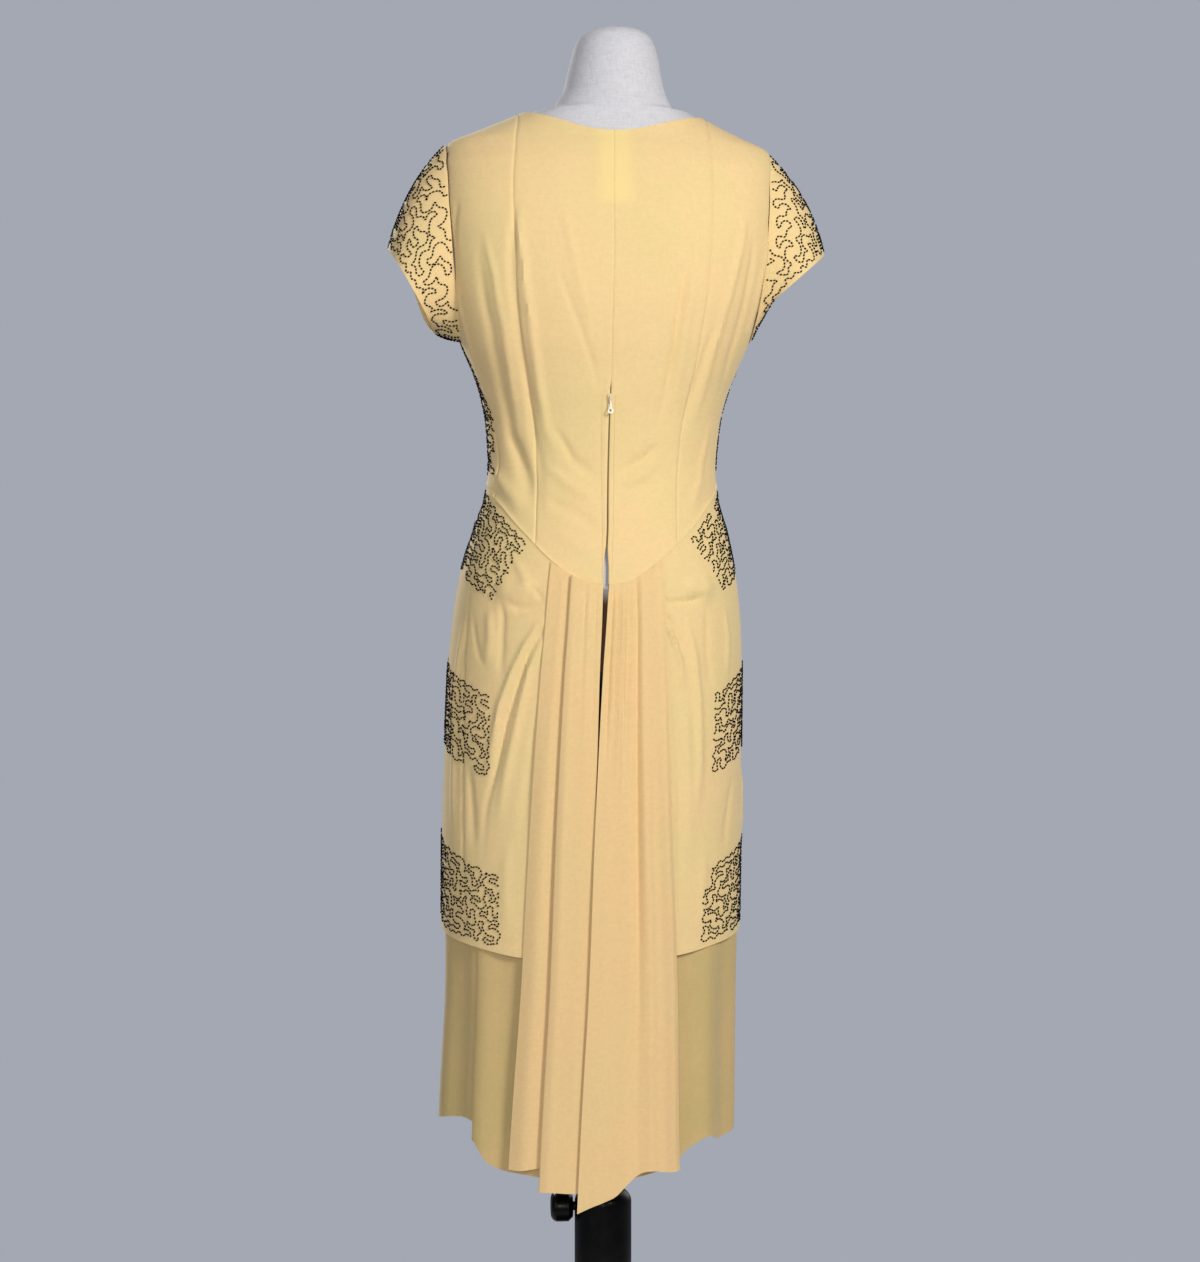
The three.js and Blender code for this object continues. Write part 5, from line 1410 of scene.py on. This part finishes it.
height = np.arange(ZIP_BOTTOM + 2, TEETH_TOP, TOOTH_PITCH)
flip = np.where(np.arange(len(height)) % 2, 1.0, -1.0)
angle = angle_across(height, flip * TOOTH_SIDE)
centres = point(angle, height, np.full(len(height), -TOOTH_DEPTH))
upward = np.tile([0, 0, 1.0], (len(height), 1))
scatter("zip_teeth", TOOTH_SHAPE, centres, upward, normal(angle, height), TEETH, "zip_metal")


def stitch_line(angle, height, out, pitch):
    at = point(angle, height, out)
    run = np.concatenate([[0], np.cumsum(np.linalg.norm(np.diff(at, axis=0), axis=1))])
    spots = np.arange(1, run[-1] - 1, pitch)
    p = np.stack([np.interp(spots, run, at[:, k]) for k in range(3)], -1)
    q = np.stack([np.interp(spots + 0.5, run, at[:, k]) for k in range(3)], -1)
    n = normal(np.interp(spots, run, angle), np.interp(spots, run, height))
    return p, q - p, n


def joined_lines(name, lines):
    parts = [stitch_line(*line) for line in lines]
    scatter(name, STITCH_SHAPE, *(np.concatenate([p[k] for p in parts]) for k in range(3)), THREAD)


lines = []
for across_top, across_foot in ((9, 3.8), (-5.5, -6.5)):
    height = np.linspace(PLACKET_HEAD, PLACKET_FOOT, 90)
    way = (PLACKET_HEAD - height) / (PLACKET_HEAD - PLACKET_FOOT)
    angle = angle_across(height, mix(across_top, across_foot, way))
    lines.append((angle, height, bodice_out(angle, height) + STITCH_UP, STITCH_PITCH))
joined_lines("placket_stitches", lines)
lines = []
for first, last, lift in ((8, 57, lambda a: 0), (-83, -8, lambda a: 0), (60, 272, front_lift)):
    angle = np.linspace(first, last, 200)
    height = skirt_hem(angle) + SKIRT_HEM_FOLD[0] + lift(angle)
    lines.append((angle, height, skirt_out(angle, height) + 0.1, HEM_PITCH))
joined_lines("skirt_hem_stitches", lines)

# Dress form
SLIT_RELIEF = 2.9  # extra depth of the form behind the slit
NECK_FOOT, NECK_END = 1504, 1599.4
columns = 120
angles = 360 * np.arange(columns) / columns
heights = np.concatenate([np.arange(FORM_BOTTOM, 1440, 8.0), np.arange(1440, 1500, 3.0), [1501.0]])
angle, height = np.meshgrid(angles, heights)
depth = mix(FORM_DEPTH, FORM_SHOULDER_DEPTH, smooth(height, 1370, 1445))
depth = depth - SLIT_RELIEF * smooth(fold(angle), 12, 4) * smooth(height, 1030, 1005)
rings = point(angle, height, -depth)
rings[0, :, 2] = FORM_BOTTOM
last = rings[-1]
neck_rows = [(1502.0, float(np.ptp(last[:, 0])) / 2, 57.0, 50.0, -9.5), *NECK]
neck_at = [curve(neck_rows, k) for k in range(1, 5)]
levels = np.concatenate([np.arange(NECK_FOOT, 1590, 2.5), np.linspace(1590, NECK_END, 9)])
sine, cosine = np.sin(np.radians(angles)), np.cos(np.radians(angles))
half, back, front, shift = (f(levels)[:, None] for f in neck_at)
neck = np.stack([shift + half * sine, np.where(cosine > 0, back, front) * cosine,
                 np.broadcast_to(levels[:, None], (len(levels), columns))], -1)
rings = np.concatenate([rings, neck])
points = np.concatenate([rings.reshape(-1, 3), [[float(SHIFT(FORM_BOTTOM)), 0, FORM_BOTTOM], [-13, 0, 1600]]])
count = rings.shape[0] * columns
line = np.arange(columns)
after, top_line = np.roll(line, -1), count - columns
foot_cap = np.stack([np.full(columns, count), after, line], -1)
head_cap = np.stack([np.full(columns, count + 1), top_line + line, top_line + after], -1)
faces = [f[:, ::-1] for f in (grid_faces(rings.shape[0], columns, 0, True), foot_cap, head_cap)]
form = mesh_object("form_body_cover", points, faces, FORM_COVER, 60)
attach(form, "form")
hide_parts("form_body")


def turned(name, outline, material, body, node, sides=96, axis="Z", at=(0, 0, 0)):
    profile = np.array(outline, float)
    turn = 2 * math.pi * np.arange(sides) / sides
    rings = np.stack([profile[:, :1] * np.cos(turn), profile[:, :1] * np.sin(turn),
                      np.broadcast_to(profile[:, 1:], (len(profile), sides))], -1)
    if axis == "X":
        rings = rings[..., [2, 1, 0]] * np.array([1, 1, -1])
    rings = rings + np.array(at)
    obj = mesh_object(name, rings.reshape(-1, 3), [grid_faces(len(profile), sides, 0, True)], material, 35)
    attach(obj, body)
    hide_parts(node)


def rounded(radius, height, edge, steps=10, low=False):
    """Points of a rounded edge of a turned piece, at its lower or upper end."""
    turn = np.linspace(0, math.pi / 2, steps)
    if low:
        return [(radius - edge + edge * math.sin(a), height + edge - edge * math.cos(a)) for a in turn]
    return [(radius - edge + edge * math.cos(a), height - edge + edge * math.sin(a)) for a in turn]


AXIS = 0.01  # radius of the smallest ring, at the axis
BASE_RADIUS, BASE_THICK, BASE_RIM = 178, 18, 7
COLUMN_RADIUS, COLUMN_FOOT, COLUMN_TOP, COLUMN_ROUND = 32, 18.3, 300, 14
BORE, BORE_FLOOR = 12.9, 40
POLE_RADIUS, POLE_FOOT, POLE_TOP = 12.5, 145, 887.6
KNOB_RADIUS, KNOB_FROM, KNOB_TO, KNOB_STEM, KNOB_HEIGHT = 17, 34.3, 59, 5, 281
BASE_LINE = [(AXIS, 0), *rounded(BASE_RADIUS, 0, 1.2, 4, True), *rounded(BASE_RADIUS, BASE_THICK, BASE_RIM),
             (60, BASE_THICK), (AXIS, BASE_THICK)]
COLUMN_LINE = [(AXIS, COLUMN_FOOT), (COLUMN_RADIUS, COLUMN_FOOT),
               *rounded(COLUMN_RADIUS, COLUMN_TOP, COLUMN_ROUND), (13.6, COLUMN_TOP), (BORE, COLUMN_TOP - 1),
               (BORE, BORE_FLOOR), (AXIS, BORE_FLOOR)]
POLE_LINE = [(AXIS, POLE_FOOT), (POLE_RADIUS - 1, POLE_FOOT), (POLE_RADIUS, POLE_FOOT + 1),
             (POLE_RADIUS, POLE_TOP), (AXIS, POLE_TOP)]
KNOB_LINE = [(AXIS, 13), (KNOB_STEM, 13), (KNOB_STEM, KNOB_FROM), (KNOB_RADIUS - 5, KNOB_FROM),
             (KNOB_RADIUS, KNOB_FROM + 5), *rounded(KNOB_RADIUS, KNOB_TO, 8), (AXIS, KNOB_TO)]
turned("stand_base", BASE_LINE, GLOSS, "stand", "form_base", 128)
turned("stand_column", COLUMN_LINE, GLOSS, "stand", "form_hub")
turned("stand_pole", POLE_LINE, STEEL, "form", "form_pole", 64)
turned("stand_knob", KNOB_LINE, GLOSS, "knob", "form_knob", 48, "X", (0, 0, KNOB_HEIGHT))

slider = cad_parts["zip_slider"]
slider.data.materials.clear()
slider.data.materials.append(ENAMEL)
bevel = slider.modifiers.new("bevel", "BEVEL")
bevel.width, bevel.segments, bevel.limit_method = 0.0002, 2, "ANGLE"

# Zip pull: a drop-shaped plate with a hole at its lower end
PULL_SIDES, PULL_END, PULL_HOLE, PULL_NECK = 48, 3.3, 1.6, 1.7
BEVEL = (0, 0.42), (0.18, 0.6)  # inset from the outline, share out from the middle plane
low_corner, high_corner = (np.array(c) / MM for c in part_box("zip_pull"))
middle = (low_corner + high_corner) / 2
reach = (high_corner - low_corner) / 2
turn = np.linspace(0, 2 * math.pi, PULL_SIDES, endpoint=False)
end_height = -reach[2] + PULL_END
hole = np.stack([PULL_HOLE * np.sin(turn), end_height + PULL_HOLE * np.cos(turn)], -1)
up = np.maximum(0, np.cos(turn))
across = np.sin(turn) * mix(PULL_END, PULL_NECK, up**0.7)
shape = np.stack([across, end_height + np.cos(turn) * mix(PULL_END, reach[2] * 2 - PULL_END, up**5)], -1)


def pull_ring(outline, inward, inset, out):
    away = unit(outline - outline.mean(0)) * (-inset if inward else inset)
    depth = np.full(PULL_SIDES, out * reach[1] * 0.8)
    return np.stack([outline[:, 0] + away[:, 0], depth, outline[:, 1] + away[:, 1]], -1)


rings = [pull_ring(shape, True, inset, out) for inset, out in BEVEL]
rings += [pull_ring(hole, False, inset, out) for inset, out in reversed(BEVEL)]
rings += [pull_ring(hole, False, inset, -out) for inset, out in BEVEL]
rings += [pull_ring(shape, True, inset, -out) for inset, out in reversed(BEVEL)]
points = np.array(rings) + middle
around = grid_faces(len(rings), PULL_SIDES, 0, True)
line, last_ring = np.arange(PULL_SIDES), (len(rings) - 1) * PULL_SIDES
after = np.roll(line, -1)
closing = np.stack([last_ring + line, last_ring + after, after, line], -1)
pull = mesh_object("zip_pull_plate", points.reshape(-1, 3), [around, closing], ZIP_METAL, 30)
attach(pull, "pull")
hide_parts("zip_pull")

# Floor, light and camera
bpy.ops.mesh.primitive_circle_add(vertices=96, radius=0.68, fill_type="NGON", location=(0, 0, -0.0006))
floor = bpy.context.object
floor.name = "floor"
plain = Nodes("floor")
clouds = plain.spread(plain.noise(3, 3), 0.3, 0.7, 0, 0.25)
plain.link(plain.blend(clouds, rgb(206, 208, 212), rgb(198, 201, 206)), plain.shader.inputs["Base Color"])
plain.set(Roughness=0.8)
floor.data.materials.append(plain.material)

world = bpy.data.worlds.new("studio")
bpy.context.scene.world = world
world.use_nodes = True
backdrop = world.node_tree.nodes["Background"]
backdrop.inputs[0].default_value = (*rgb(163, 168, 178), 1)
path = world.node_tree.nodes.new("ShaderNodeLightPath")
level = world.node_tree.nodes.new("ShaderNodeMapRange")
level.inputs["To Min"].default_value, level.inputs["To Max"].default_value = 0.42, 1.0
world.node_tree.links.new(path.outputs["Is Camera Ray"], level.inputs["Value"])
world.node_tree.links.new(level.outputs[0], backdrop.inputs[1])
bpy.context.scene.view_settings.view_transform = "Standard"


def area_light(name, place, target, size, power, colour):
    data = bpy.data.lights.new(name, "AREA")
    data.shape, data.size, data.size_y = "RECTANGLE", size[0], size[1]
    data.energy, data.color = power, colour
    obj = bpy.data.objects.new(name, data)
    bpy.context.scene.collection.objects.link(obj)
    obj.location = place
    obj.rotation_euler = (Vector(target) - Vector(place)).to_track_quat("-Z", "Y").to_euler()


area_light("key", (-1.35, 2.45, 2.2), (0, 0, 1.0), (0.7, 0.9), 60, (1, 0.965, 0.92))
area_light("fill", (0.3, 2.9, 1.2), (0, 0, 0.9), (0.7, 0.9), 20, (1, 0.975, 0.94))
area_light("side_fill", (2.0, 1.9, 1.1), (0, 0, 0.85), (1.2, 1.6), 10, (1, 0.98, 0.96))
area_light("front", (1.3, -2.5, 2.2), (0, 0, 1.0), (0.7, 0.9), 62, (1, 0.965, 0.92))
area_light("front_fill", (-1.7, -2.2, 1.2), (0, 0, 0.85), (1.2, 1.6), 15, (1, 0.98, 0.96))

YAW, DISTANCE, EYE_HEIGHT, AIM_HEIGHT = math.radians(4.5), 2.6, 1.0, 0.929
SENSOR, WIDTH_PX, FOCAL_PX, AIM_SHIFT_PX = 36, 1200, 2321, 3
eye = Vector((math.sin(YAW) * DISTANCE, math.cos(YAW) * DISTANCE, EYE_HEIGHT))
right = Vector((-math.cos(YAW), math.sin(YAW), 0))
aim = Vector((0, 0, AIM_HEIGHT)) - right * (AIM_SHIFT_PX / FOCAL_PX * DISTANCE)
camera = bpy.data.cameras.new("camera")
camera.sensor_fit, camera.sensor_width = "HORIZONTAL", SENSOR
camera.lens = SENSOR * FOCAL_PX / WIDTH_PX
camera_object = bpy.data.objects.new("camera", camera)
bpy.context.scene.collection.objects.link(camera_object)
camera_object.location = eye
camera_object.rotation_euler = (aim - eye).to_track_quat("-Z", "Y").to_euler()
bpy.context.scene.camera = camera_object

added = [o for o in bpy.context.scene.objects if o.type == "MESH" and o.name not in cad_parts]
counts = {o.name: sum(len(p.vertices) - 2 for p in o.data.polygons) for o in added}
print("TRIANGLES", sum(counts.values()), sorted(counts.items(), key=lambda item: -item[1])[:8])
